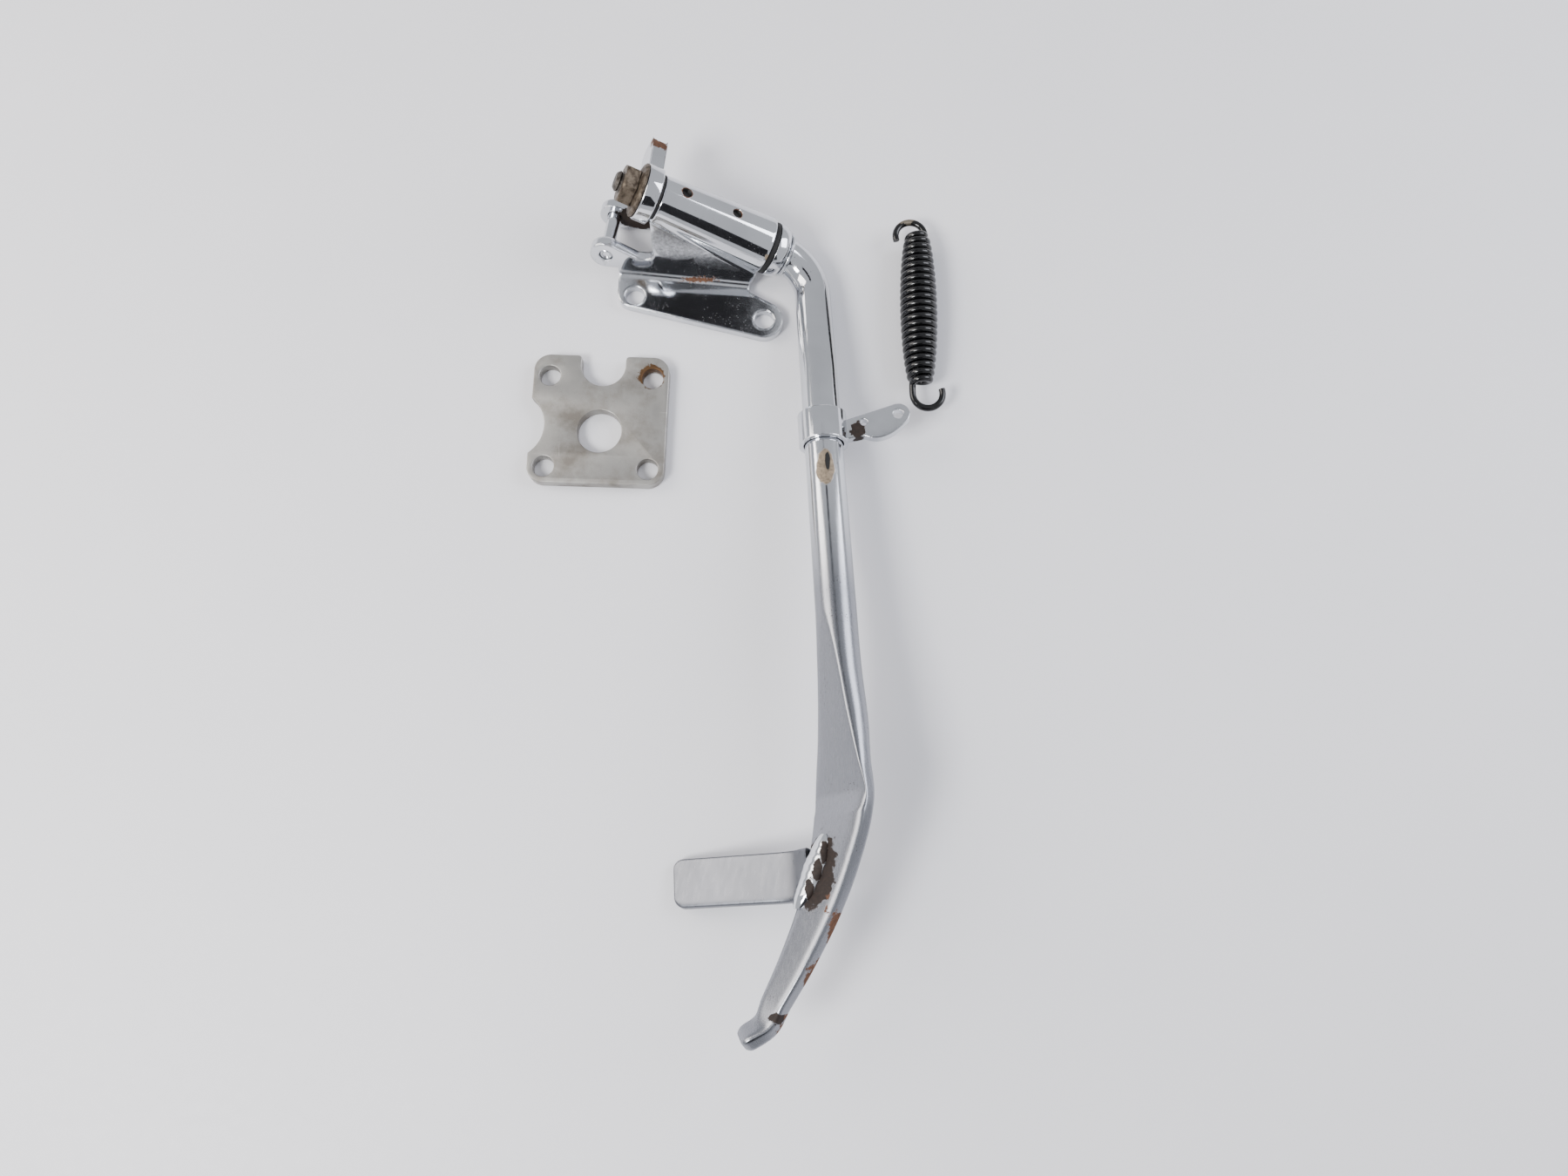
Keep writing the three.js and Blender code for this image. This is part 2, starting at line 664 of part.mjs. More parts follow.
// Rings of the shaft and the bend. The turn is kept square to the bend's plane.
function shaftAndBendRings(margin = 0) {
  const rings = [];
  const alongX = new THREE.Vector3(1, 0, 0);
  const shaft = { ...roundBar(shaftDiameter + 2 * margin), turn: 90 };
  const bar = { ...roundBar(barDiameter + 2 * margin), turn: 90 };
  rings.push(barRing(new THREE.Vector3(shaftEnd, 0, 0), alongX, shaft));
  rings.push(barRing(new THREE.Vector3(barStart - 0.6, 0, 0), alongX, shaft));
  rings.push(barRing(new THREE.Vector3(barStart, 0, 0), alongX, bar));
  const bendSteps = 9;
  for (let step = 0; step <= bendSteps; step++) {
    const angle = (bendAngle * step) / bendSteps;
    const direction = new THREE.Vector3(Math.cos(angle), 0, Math.sin(angle));
    rings.push(barRing(bendPoint(angle), direction, bar));
  }
  return rings;
}

// Value of one blade measure between two neighbouring sections, eased with a Hermite curve.
function blendSections(sections, key, along) {
  const last = sections.length - 2;
  let i = 0;
  while (i < last && sections[i + 1].along < along) i++;
  const [a, b] = [sections[i], sections[i + 1]];
  const before = sections[Math.max(i - 1, 0)];
  const after = sections[Math.min(i + 2, sections.length - 1)];
  const slope = (p, q) => (q[key] - p[key]) / Math.max(q.along - p.along, 1);
  const span = b.along - a.along;
  const t = (along - a.along) / span;
  const startSlope = slope(before, b) * span;
  const endSlope = slope(a, after) * span;
  return (
    a[key] * (2 * t ** 3 - 3 * t ** 2 + 1) +
    startSlope * (t ** 3 - 2 * t ** 2 + t) +
    b[key] * (3 * t ** 2 - 2 * t ** 3) +
    endSlope * (t ** 3 - t ** 2)
  );
}

const measures = ["across", "above", "width", "thickness", "turn", "square"];

function sectionAt(sections, along) {
  const section = { along };
  for (const key of measures) section[key] = blendSections(sections, key, along);
  return section;
}

const sectionPlace = ({ across, above, along }) =>
  new THREE.Vector3(legCorner + across, above, along);

// Points beyond the forged flat are pressed back onto its plane, above the knee only.
function pressFlat(loop) {
  const origin = new THREE.Vector3(legCorner, 0, 0).add(new THREE.Vector3(...flatPoint));
  const normal = new THREE.Vector3(...flatNormal).normalize();
  for (const point of loop) {
    if (point.z > kneeAt) continue;
    const proud = point.clone().sub(origin).dot(normal);
    if (proud > 0) point.addScaledVector(normal, -proud);
  }
  return loop;
}

function allSections() {
  const roundAt = (along) => {
    const across = legPoint(along).x - legCorner;
    return { ...roundBar(barSwollen), along, across, above: 0 };
  };
  return [roundAt(bladeStart - bladeLeadIn), roundAt(bladeStart), ...bladeSections];
}

const legSections = allSections();
const toeEnd = bladeSections[bladeSections.length - 1].along;

// Rings of the blade; a margin makes it larger all round, for cutting its neighbours clear of it.
function bladeRings(margin = 0) {
  const rings = [];
  const steps = 24;
  for (let step = 0; step <= steps; step++) {
    const along = bladeStart + ((toeEnd - bladeStart) * step) / steps;
    const section = sectionAt(legSections, along);
    section.width += 2 * margin;
    section.thickness += 2 * margin;
    const later = Math.min(along + 1, toeEnd);
    const ahead = sectionPlace(sectionAt(legSections, later));
    const behind = sectionPlace(sectionAt(legSections, later - 2));
    const direction = ahead.sub(behind).normalize();
    rings.push(pressFlat(barRing(sectionPlace(section), direction, section)));
  }
  return rings;
}

function legBar() {
  const bar = loft([...shaftAndBendRings(), ...bladeRings()]);
  const studHole = rodX(shaftEnd - overrun, shaftEnd + studDepth + gap, studDiameter / 2 + gap);
  return cut(bar, studHole);
}

// A weld bead round the bar, against the shoulder, where the bend has just begun.
function shoulderWeld() {
  const inner = barRadius - 0.5;
  const from = shoulderLeft + shoulderLength + gap;
  const bead = turned([
    [from, inner],
    [from, barRadius + gap + 1.5],
    [from + 0.7, barRadius + gap + 1.8],
    [from + 1.8, barRadius + gap + 1],
    [from + 2.4, inner],
    [from, inner],
  ]);
  return cut(bead, loft(shaftAndBendRings(gap)));
}

// ---------------------------------------------------------------- spring tab on the leg

const bandInner = barSwollen / 2 + gap;
const bandOuter = bandInner + bandWall;

// The tab frame: origin on the bar's centre at the band, x out along the ear, z along the bar.
function tabFrame() {
  const direction = legLine.clone();
  const out = new THREE.Vector3(Math.cos(radians(tabTurn)), Math.sin(radians(tabTurn)), 0);
  out.addScaledVector(direction, -out.dot(direction)).normalize();
  const side = new THREE.Vector3().crossVectors(direction, out);
  const frame = new THREE.Matrix4().makeBasis(out, side, direction);
  return frame.setPosition(legPoint(bandStart));
}

function springTab() {
  const band = ring(0, bandLength, bandOuter, bandInner).rotateY(-Math.PI / 2);
  const root = bandInner + bandWall / 2;
  const back = [tabReach - tabBack[0], tabHookUp + tabBack[1]];
  const smallOut = bandOuter + tabSmallOut;
  const ear = new THREE.Shape();
  ear.moveTo(root, tabRootUp);
  ear.lineTo(tabReach - 1, tabHookUp - tabTip);
  ear.absarc(tabReach, tabHookUp, tabTip, -Math.PI / 2, 0.25 * Math.PI, false);
  ear.quadraticCurveTo(...back, smallOut, bandLength - 2);
  ear.lineTo(root, bandLength - 1);
  ear.closePath();
  ear.holes.push(circleHole(tabReach, tabHookUp, tabHookHole / 2));
  ear.holes.push(circleHole(smallOut, tabSmallUp, tabSmallHole / 2));
  const plate = slab(ear, -tabThickness / 2, tabThickness).rotateX(Math.PI / 2);
  const inside = rodX(-overrun, bandLength + overrun, bandInner, roundSides).rotateY(-Math.PI / 2);
  return cut(join(band, plate), inside).applyMatrix4(tabFrame());
}

// ---------------------------------------------------------------- step arm

// The blade at one place: the middle of its left face, the way across it, and the way out of it.
function bladeFace(along) {
  const section = sectionAt(legSections, along);
  const turn = radians(section.turn);
  const wide = new THREE.Vector3(Math.cos(turn), Math.sin(turn), 0);
  const out = new THREE.Vector3(-Math.sin(turn), Math.cos(turn), 0);
  const middle = sectionPlace(section).addScaledVector(out, section.thickness / 2);
  return { middle, wide, out, halfWidth: section.width / 2 };
}

// The arm's middle line in the plane across the leg: tip, elbow, and root against the blade's edge.
function armLine() {
  const { middle, wide, out, halfWidth } = bladeFace(armPlace);
  const root = middle.clone().addScaledVector(wide, -halfWidth - gap);
  root.addScaledVector(out, -armThickness / 2 - armSunk);
  const elbow = root.clone().addScaledVector(wide, -armRootLength);
  const turn = radians(armTurn);
  const tip = elbow.clone();
  tip.addScaledVector(new THREE.Vector3(Math.cos(turn), Math.sin(turn), 0), -armLength);
  const line = new THREE.CurvePath();
  const enter = tip.clone().lerp(elbow, 1 - 6 / armLength);
  const leave = elbow.clone().lerp(root, 0.8);
  line.add(new THREE.LineCurve3(tip, enter));
  line.add(new THREE.QuadraticBezierCurve3(enter, elbow, leave));
  line.add(new THREE.LineCurve3(leave, root));
  return line;
}

// The arm's bar before it is coped; a margin makes it larger, for cutting the weld clear of it.
function armBar(margin = 0) {
  const line = armLine();
  const offset = armThickness / 2 + margin;
  const width = armWidth + 2 * margin;
  const steps = 24;
  const front = [];
  const back = [];
  for (let step = 0; step <= steps; step++) {
    const point = line.getPoint(step / steps);
    const tangent = line.getTangent(step / steps);
    const across = new THREE.Vector3(-tangent.y, tangent.x, 0).multiplyScalar(offset);
    front.push(point.clone().add(across));
    back.push(point.clone().sub(across));
  }
  const outline = [...back, ...front.reverse()].map((p) => new THREE.Vector2(p.x, p.y));
  const follow = new THREE.Matrix4().makeShear(0, 0, 0, 0, legLine.x / legLine.z, 0);
  const start = line.getPoint(0);
  const end = line.getPoint(1);
  const slant = -armSweep / (end.y - start.y);
  const sweep = new THREE.Matrix4().makeShear(0, 0, 0, slant, 0, 0);
  return slab(new THREE.Shape(outline), -width / 2, width)
    .applyMatrix4(follow)
    .translate(0, -end.y, 0)
    .applyMatrix4(sweep)
    .translate(0, end.y, armPlace);
}

// The weld that fixes the arm: a long rippled bead on the blade's face beside the arm's root.
function stepWeld() {
  const rings = [];
  const steps = 20;
  const sides = 14;
  for (let step = 0; step <= steps; step++) {
    const t = step / steps;
    const swell = Math.sqrt(Math.sin(Math.PI * (0.05 + 0.9 * t)));
    const ripple = 1 + 0.04 * Math.cos(step * Math.PI);
    const { middle, wide, out, halfWidth } = bladeFace(armPlace + (t - 0.5) * weldLength);
    const inset = THREE.MathUtils.lerp(weldInset[0], weldInset[1], t);
    const centre = middle.addScaledVector(wide, inset - halfWidth).addScaledVector(out, gap);
    const loop = [];
    for (let side = 0; side < sides; side++) {
      const angle = (2 * Math.PI * side) / sides;
      const across = (weldWidth / 2) * swell * ripple * Math.cos(angle);
      const above = weldHeight * swell * ripple * Math.max(Math.sin(angle), 0);
      loop.push(centre.clone().addScaledVector(wide, across).addScaledVector(out, above));
    }
    rings.push(loop);
  }
  return cut(loft(rings), armBar(gap));
}

// ---------------------------------------------------------------- assembly

function buildBracket() {
  addPiece(stand, "bracket_plate", bracketPlate(), chrome);
  addPiece(webFrame, "rear_ear_plate", rearEarPlate(), chrome);
  addPiece(webFrame, "spring_anchor_pin", anchorPin(), chrome);
  addPiece(pivotFrame, "pivot_barrel", pivotBarrel(), chrome);
  addPiece(pivotFrame, "inner_bush", bush(-half + 0.5), oilyBronze);
  addPiece(pivotFrame, "outer_bush", bush(half - 0.5 - bushLength), oilyBronze);
}

function buildLeg() {
  addPiece(legFrame, "leg_bar", legBar(), satinChrome);
  addPiece(legFrame, "leg_shoulder", legShoulder(), chrome);
  addPiece(legFrame, "shoulder_weld", shoulderWeld(), chrome);
  const shaftBore = shaftRadius + gap;
  const thrust = ring(thrustLeft, thrustRight, thrustDiameter / 2, shaftBore);
  const seal = ring(sealLeft, sealLeft + sealThickness, barrelRadius, shaftBore);
  addPiece(legFrame, "thrust_washer", thrust, blackRubber);
  addPiece(legFrame, "dust_seal", seal, blackRubber);
  const unswung = new THREE.Group();
  unswung.rotation.x = -legFrame.rotation.x;
  legFrame.add(unswung);
  addPiece(unswung, "leg_stop", legStop(), chrome);
  addPiece(legFrame, "dished_washer", dishedWasher(), dirtyZinc);
  addPiece(legFrame, "pivot_nut", pivotNut(), dirtyZinc);
  addPiece(legFrame, "threaded_stud", threadedStud(), darkThread);
  addPiece(legFrame, "spring_tab_collar", springTab(), chrome);
  addPiece(legFrame, "step_arm", cut(armBar(), loft(bladeRings(gap))), satinChrome);
  addPiece(legFrame, "step_weld", stepWeld(), chrome);
}

// The return spring's wire: hook, close coils whose radius swells to the middle, hook.
class SpringWire extends THREE.Curve {
  getPoint(t, target = new THREE.Vector3()) {
    const hookShare = 0.07;
    const coilLength = springCoils * springPitch;
    const end = (springEnds - springWire) / 2;
    const middle = (springMiddle - springWire) / 2;
    if (t < hookShare || t > 1 - hookShare) {
      const far = t > 0.5;
      const u = far ? (t - 1 + hookShare) / hookShare : 1 - t / hookShare;
      return this.hookPoint(u, far, coilLength, end, target);
    }
    const s = (t - hookShare) / (1 - 2 * hookShare);
    const radius = end + (middle - end) * Math.sin(Math.PI * s) ** 0.55;
    const angle = 2 * Math.PI * springCoils * s;
    return target.set(radius * Math.cos(angle), -s * coilLength, radius * Math.sin(angle));
  }

  // From the coil's last point the wire rises off the end and turns into an open hook, which
  // opens to the left at the near end and to the right at the far end.
  hookPoint(u, far, coilLength, end, target) {
    const lead = springLeads[far ? 1 : 0];
    const s = u * (lead + radians(springHookTurn) * springHook);
    const sign = far ? -1 : 1;
    const base = far ? -coilLength : 0;
    if (s < lead) return target.set(sign * end, base + sign * s, 0);
    const angle = (s - lead) / springHook;
    const x = sign * (end - springHook * (1 - Math.cos(angle)));
    return target.set(x, base + sign * (lead + springHook * Math.sin(angle)), 0);
  }
}

function returnSpring() {
  const hookSteps = 16;
  const wire = new THREE.Shape();
  wire.absarc(0, 0, springWire / 2, 0, 2 * Math.PI, false);
  const steps = springCoils * springStepsPerTurn + 2 * hookSteps;
  const options = { steps, extrudePath: new SpringWire(), curveSegments: springSides / 2 };
  return new THREE.ExtrudeGeometry(wire, options);
}

// Mounting plate outline, measured from its centre hole.
function spacerOutline() {
  const left = spacerHolesRight - spacerPitchX / 2 - spacerMargin;
  const right = spacerHolesRight + spacerPitchX / 2 + spacerMargin;
  const bottom = spacerHolesUp - spacerPitchY / 2 - spacerMargin;
  const top = spacerHolesUp + spacerPitchY / 2 + spacerMargin + 3;
  const corner = spacerMargin;
  const lip = 4.5;
  const notchHalf = spacerTopNotch + lip;
  const shape = new THREE.Shape();
  shape.moveTo(left + corner, bottom);
  shape.lineTo(right - corner, bottom);
  shape.absarc(right - corner, bottom + corner, corner, -Math.PI / 2, 0, false);
  shape.lineTo(right, top - corner);
  shape.absarc(right - corner, top - corner, corner, 0, Math.PI / 2, false);
  shape.lineTo(notchHalf, top);
  shape.quadraticCurveTo(spacerTopNotch, top, spacerTopNotch, spacerTopNotchUp);
  shape.absarc(0, spacerTopNotchUp, spacerTopNotch, 0, Math.PI, true);
  shape.quadraticCurveTo(-spacerTopNotch, top, -notchHalf, top);
  shape.lineTo(left + corner, top);
  shape.absarc(left + corner, top - corner, corner, Math.PI / 2, Math.PI, false);
  addSideNotch(shape, left);
  shape.lineTo(left, bottom + corner);
  shape.absarc(left + corner, bottom + corner, corner, Math.PI, 1.5 * Math.PI, false);
  shape.holes = spacerHoles();
  return shape;
}

// The shallow round notch in the left edge.
function addSideNotch(shape, left) {
  const middle = 2;
  const centre = left + spacerSideNotchDepth - spacerSideNotch;
  const reach = Math.acos((left - centre) / spacerSideNotch);
  shape.absarc(centre, middle, spacerSideNotch, reach, -reach, true);
}

function spacerHoles() {
  const holes = [circleHole(0, 0, spacerCentreHole / 2)];
  for (const x of [-0.5, 0.5]) {
    for (const y of [-0.5, 0.5]) {
      const holeX = spacerHolesRight + x * spacerPitchX;
      const holeY = spacerHolesUp + y * spacerPitchY;
      holes.push(circleHole(holeX, holeY, spacerHole / 2));
    }
  }
  return holes;
}

function buildLooseParts() {
  const spring = addPiece(stand, "return_spring", returnSpring(), blackPaint);
  spring.position.set(...springPlace, springMiddle / 2);
  const spacer = addPiece(stand, "mounting_plate", slab(spacerOutline(), 0, spacerThickness), rawSteel);
  spacer.position.set(...spacerPlace, 0);
  spacer.rotation.z = radians(spacerSkew);
}

buildBracket();
buildLeg();
buildLooseParts();

export default stand;
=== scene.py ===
# %% [markdown]
# A motorcycle kickstand lies on a pale table: the chromed bracket with its inclined pivot barrel,
# the long leg that swings in it, the loose return spring and the loose spacer plate. The CAD model
# gives every size, place and joint. These cells give each piece the smooth surface and the finish
# that the metal really has, with a few patches of painted reflection and painted shade, and leave
# everything exactly where the CAD model puts it.

# %% Load the frame
import json
import math
import bmesh
import bpy
import numpy as np
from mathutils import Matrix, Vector
from mathutils.geometry import tessellate_polygon


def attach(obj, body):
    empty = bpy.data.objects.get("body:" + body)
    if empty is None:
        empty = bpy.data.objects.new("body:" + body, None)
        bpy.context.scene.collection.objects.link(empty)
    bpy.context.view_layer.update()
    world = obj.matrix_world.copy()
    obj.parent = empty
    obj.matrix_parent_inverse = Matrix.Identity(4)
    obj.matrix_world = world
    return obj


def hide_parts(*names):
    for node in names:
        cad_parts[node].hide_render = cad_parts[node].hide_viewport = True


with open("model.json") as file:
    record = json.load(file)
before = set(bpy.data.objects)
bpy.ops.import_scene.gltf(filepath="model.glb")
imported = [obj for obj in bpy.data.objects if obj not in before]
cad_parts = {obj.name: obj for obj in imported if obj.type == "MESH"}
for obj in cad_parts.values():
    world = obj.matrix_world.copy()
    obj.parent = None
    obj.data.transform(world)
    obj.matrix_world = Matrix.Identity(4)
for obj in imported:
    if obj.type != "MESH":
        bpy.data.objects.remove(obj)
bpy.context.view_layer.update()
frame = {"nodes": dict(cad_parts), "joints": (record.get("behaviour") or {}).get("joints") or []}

# %% [markdown]
# Everything is drawn in millimetres, as a workshop drawing is, and turned to metres when a mesh is
# made. Three small frames carry the drawing: the web's plane, the pivot axis in that plane, and the
# leg. The pivot's place and direction come from the joint that the CAD model declares.

# %% Frames of the drawing
MM = 0.001


def unit(vector):
    """The vector divided by its own length."""
    vector = np.asarray(vector, float)
    return vector / np.linalg.norm(vector)


def placed(origin, x, y, z):
    """A 4x4 frame whose columns are the three directions and the origin, in millimetres."""
    frame_matrix = np.eye(4)
    frame_matrix[:3, 0], frame_matrix[:3, 1], frame_matrix[:3, 2] = x, y, z
    frame_matrix[:3, 3] = origin
    return frame_matrix


swing = next(joint for joint in frame["joints"] if joint["name"] == "leg_swing")
pivot_axis = -unit(swing["axis"])
pivot_middle = np.array(swing["pos_m"]) / MM

SHEET = 5.0  # thickness of the bracket's plate
BEND_BACK = 14.7  # from the bolt holes' middle back to the bend
BEND_SKEW = math.radians(-5.95)
WEB_LEAN = math.radians(15.5)
along_bend = np.array([math.cos(BEND_SKEW), math.sin(BEND_SKEW), 0.0])
level_back = np.array([-math.sin(BEND_SKEW), math.cos(BEND_SKEW), 0.0])
up_web = level_back * math.sin(WEB_LEAN) + np.array([0, 0, math.cos(WEB_LEAN)])
web_front = np.cross(along_bend, up_web)
WEB = placed([0, BEND_BACK, SHEET], along_bend, up_web, web_front)
PIVOT = placed(pivot_middle, pivot_axis, np.cross(web_front, pivot_axis), web_front)

REST_SWING = math.radians(2.9)
turn_x = np.eye(4)
turn_x[1:3, 1:3] = [
    [math.cos(REST_SWING), -math.sin(REST_SWING)],
    [math.sin(REST_SWING), math.cos(REST_SWING)],
]
LEG = PIVOT @ turn_x
print("pivot at", np.round(pivot_middle, 2), "axis", np.round(pivot_axis, 3))

# %% [markdown]
# Most of these pieces were turned, drawn out or pressed, so a few kinds of surface make all of
# them: a profile spun about an axis, rings of points carried along a path, and a flat outline with
# rounded edges. Each is a whole array of points, worked out at once. Chrome shows every edge as a
# thin bright line, so no corner is left sharp.

# %% Surfaces from arrays
def rounded(corners, radius, steps=4, closed=True):
    """Each corner is replaced by a quadratic curve that starts and ends a radius before and after it."""
    corners = np.asarray(corners, float)
    before, after = np.roll(corners, 1, 0), np.roll(corners, -1, 0)
    radius = np.broadcast_to(radius, len(corners))[:, None]
    to_before, to_after = before - corners, after - corners
    reach_before = np.linalg.norm(to_before, axis=1, keepdims=True)
    reach_after = np.linalg.norm(to_after, axis=1, keepdims=True)
    most = 0.45  # of an edge, so that the curves at its two ends never meet
    start = corners + to_before * np.minimum(radius / np.maximum(reach_before, 1e-9), most)
    end = corners + to_after * np.minimum(radius / np.maximum(reach_after, 1e-9), most)
    t = np.linspace(0, 1, steps + 1)[None, :, None]
    curve = (1 - t) ** 2 * start[:, None] + 2 * t * (1 - t) * corners[:, None] + t**2 * end[:, None]
    if closed:
        return curve.reshape(-1, corners.shape[1])
    middle = curve[1:-1].reshape(-1, corners.shape[1])
    return np.vstack([corners[:1], middle, corners[-1:]])


def arc(centre, radius, start, end, steps=24):
    """Points on a circle from one angle to another, in degrees."""
    angle = np.radians(np.linspace(start, end, steps))
    return np.column_stack([centre[0] + radius * np.cos(angle), centre[1] + radius * np.sin(angle)])


def skin(rings, capped=True):
    """A row of equal closed rings becomes quads between neighbours, with a cap on each end."""
    rings = np.asarray(rings, float)
    count, sides = rings.shape[:2]
    index = np.arange(count * sides).reshape(count, sides)
    ahead = np.roll(index, -1, 1)
    quads = np.stack([index[:-1], ahead[:-1], ahead[1:], index[1:]], -1).reshape(-1, 4)
    faces = quads.tolist()
    if capped:
        faces += [index[0, ::-1].tolist(), index[-1].tolist()]
    return rings.reshape(-1, 3), faces


def looped(rings):
    """The same, with the last ring joined to the first instead of capped."""
    rings = np.asarray(rings, float)
    points, faces = skin(np.concatenate([rings, rings[:1]]), capped=False)
    whole = rings.shape[0] * rings.shape[1]
    return points[:whole], (np.array(faces) % whole).tolist()


def spun(profile, sides=96):
    """Points (x, r) turned about the X axis: y = r cos(angle), z = r sin(angle)."""
    profile = np.asarray(profile, float)
    angle = np.linspace(0, 2 * np.pi, sides, endpoint=False)
    x = np.repeat(profile[:, :1], sides, 1)
    return np.stack([x, profile[:, 1:] * np.cos(angle), profile[:, 1:] * np.sin(angle)], -1)


def spun_ring(corners, radius=0.4, sides=96):
    """A ring or washer: a closed profile with softened corners, turned about the X axis."""
    return looped(spun(rounded(corners, radius), sides))


def both(*shapes):
    """Several closed shapes as the shells of one mesh."""
    points, faces, first = [], [], 0
    for shape_points, shape_faces in shapes:
        points.append(shape_points)
        faces += [[corner + first for corner in face] for face in shape_faces]
        first += len(shape_points)
    return np.vstack(points), faces


def moved(shape, matrix):
    """The shape's points carried by a 4x4 frame."""
    points, faces = shape
    return points @ matrix[:3, :3].T + matrix[:3, 3], faces


# %% [markdown]
# The stop's tab and the spacer are cut from flat plate, with their edges rounded. Such a piece could
# be an extruded outline with a Bevel modifier. Here the rounding is part of the wall, as rows of the
# outline moved inwards along a quarter circle, so that corners and holes get the same even edge.

# %% Flat plates with rounded edges
def inset(outline, distance):
    """Every point moves inwards, along the mean of the normals of the two edges that meet there."""
    edge = np.roll(outline, -1, 0) - outline
    normal = np.column_stack([-edge[:, 1], edge[:, 0]])
    normal /= np.maximum(np.linalg.norm(normal, axis=1, keepdims=True), 1e-9)
    mean = normal + np.roll(normal, 1, 0)
    mean /= np.maximum((mean**2).sum(1, keepdims=True) / 2, 0.3)
    return outline + distance * mean


def plate(outline, holes, low, high, edge=0.6, steps=4):
    """A flat outline (anticlockwise) with holes (clockwise) between two heights. The wall's rows
    follow a quarter circle at each edge, and the two faces are filled between the loops."""
    loops = [np.asarray(loop, float) for loop in [outline, *holes]]
    quarter = np.linspace(0, np.pi / 2, steps + 1)
    step_in = edge * (1 - np.sin(quarter))
    step_up = edge * (1 - np.cos(quarter))
    rows = list(zip(step_in, low + step_up)) + list(zip(step_in[::-1], high - step_up[::-1]))
    points, faces, tops, bottoms, first = [], [], [], [], 0
    for loop in loops:
        ring = [np.column_stack([inset(loop, d), np.full(len(loop), z)]) for d, z in rows]
        wall, quads = skin(ring, capped=False)
        points.append(wall)
        faces += [[corner + first for corner in quad] for quad in quads]
        bottoms.append(np.arange(first, first + len(loop)))
        tops.append(np.arange(first + len(wall) - len(loop), first + len(wall)))
        first += len(wall)
    points = np.vstack(points)
    for rims, flip in ((bottoms, True), (tops, False)):
        names = np.concatenate(rims)
        flat = [[Vector((*points[i, :2], 0)) for i in rim] for rim in rims]
        for triangle in tessellate_polygon(flat):
            corners = [int(names[i]) for i in triangle]
            faces.append(corners[::-1] if flip else corners)
    return points, faces


def hole(centre, radius, sides=48):
    """A clockwise circle, for a hole."""
    return arc(centre, radius, 360, 360 / sides, sides)


# %% [markdown]
# A finished piece is a mesh in metres that rides on a CAD body. It could be set up piece by piece,
# but one function treats all of them alike: it merges points that meet, turns the faces outwards,
# and marks an edge sharp only where the surface really turns a corner.

# %% From arrays to pieces
def make(name, shape, body, nodes, material, sharp=40):
    """Points and faces become one finished piece: in metres, closed, faces outwards, smooth where
    faces meet at less than the sharp angle, riding on its body in place of its CAD nodes."""
    points, faces = shape
    mesh = bpy.data.meshes.new(name)
    mesh.from_pydata((points * MM).tolist(), [], faces)
    work = bmesh.new()
    work.from_mesh(mesh)
    bmesh.ops.remove_doubles(work, verts=work.verts, dist=2e-6)
    bmesh.ops.recalc_face_normals(work, faces=work.faces)
    for face in work.faces:
        face.smooth = True
    for edge in work.edges:
        edge.smooth = edge.is_manifold and edge.calc_face_angle(0) < math.radians(sharp)
    work.to_mesh(mesh)
    work.free()
    piece = bpy.data.objects.new(name, mesh)
    bpy.context.collection.objects.link(piece)
    mesh.materials.append(material)
    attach(piece, body)
    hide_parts(*nodes)
    print(f"{name}: {len(mesh.vertices)} points, {len(mesh.polygons)} faces")
    return piece


# %% [markdown]
# Chrome plate is a thin bright layer over nickel and steel. It is a metal with almost no roughness,
# so it shows the room: bright where it faces the pale room and the lamps, black where it faces the
# two dark cards. Age gives it faint wiping haze, tiny pits where rust has come through, and brown
# bare steel where the layer has peeled. A few patches are painted light instead: a painted
# reflection below the leg's collar, and painted shade in the grease holes and, in part, under the
# stop ring. Every finish below is built with one function that adds a node with its settings, and
# a few short ones that use it.

# %% Colour and node helpers
def linear(hex_colour):
    """An sRGB hex colour as linear red, green and blue."""
    srgb = np.array([int(hex_colour[i : i + 2], 16) / 255 for i in (0, 2, 4)])
    value = np.where(srgb <= 0.04045, srgb / 12.92, ((srgb + 0.055) / 1.055) ** 2.4)
    return (*value.tolist(), 1.0)


def add(tree, kind, settings=None, **links):
    """Adds one node. Settings are properties or socket values. Links are sockets to connect, by
    name, or by number as i0 and i1 where names repeat."""
    node = tree.nodes.new(kind)
    for key, value in (settings or {}).items():
        if isinstance(key, str) and hasattr(node, key):
            setattr(node, key, value)
        else:
            node.inputs[key].default_value = value
    for key, source in links.items():
        numbered = key[0] == "i" and key[1:].isdigit()
        tree.links.new(source, node.inputs[int(key[1:]) if numbered else key.replace("_", " ")])
    return node


def blank(name, **sockets):
    """A new material with one Principled shader, and its node tree."""
    material = bpy.data.materials.new(name)
    material.use_nodes = True
    tree = material.node_tree
    shader = tree.nodes["Principled BSDF"]
    for key, value in sockets.items():
        shader.inputs[key.replace("_", " ")].default_value = value
    return material, tree, shader


def ramp(tree, source, low, high, start=0.0, end=1.0):
    """A value rescaled from one range to another, held at both ends."""
    settings = {"From Min": low, "From Max": high, "To Min": start, "To Max": end}
    return add(tree, "ShaderNodeMapRange", settings, Value=source).outputs["Result"]


def noise(tree, place, scale, detail=4.0, rough=0.55, stretch=None):
    """Noise with the given number of waves per metre. Stretch draws it out along an axis."""
    if stretch:
        place = add(tree, "ShaderNodeMapping", {"Scale": stretch}, Vector=place).outputs["Vector"]
    settings = {"Scale": scale, "Detail": detail, "Roughness": rough}
    return add(tree, "ShaderNodeTexNoise", settings, Vector=place).outputs["Fac"]


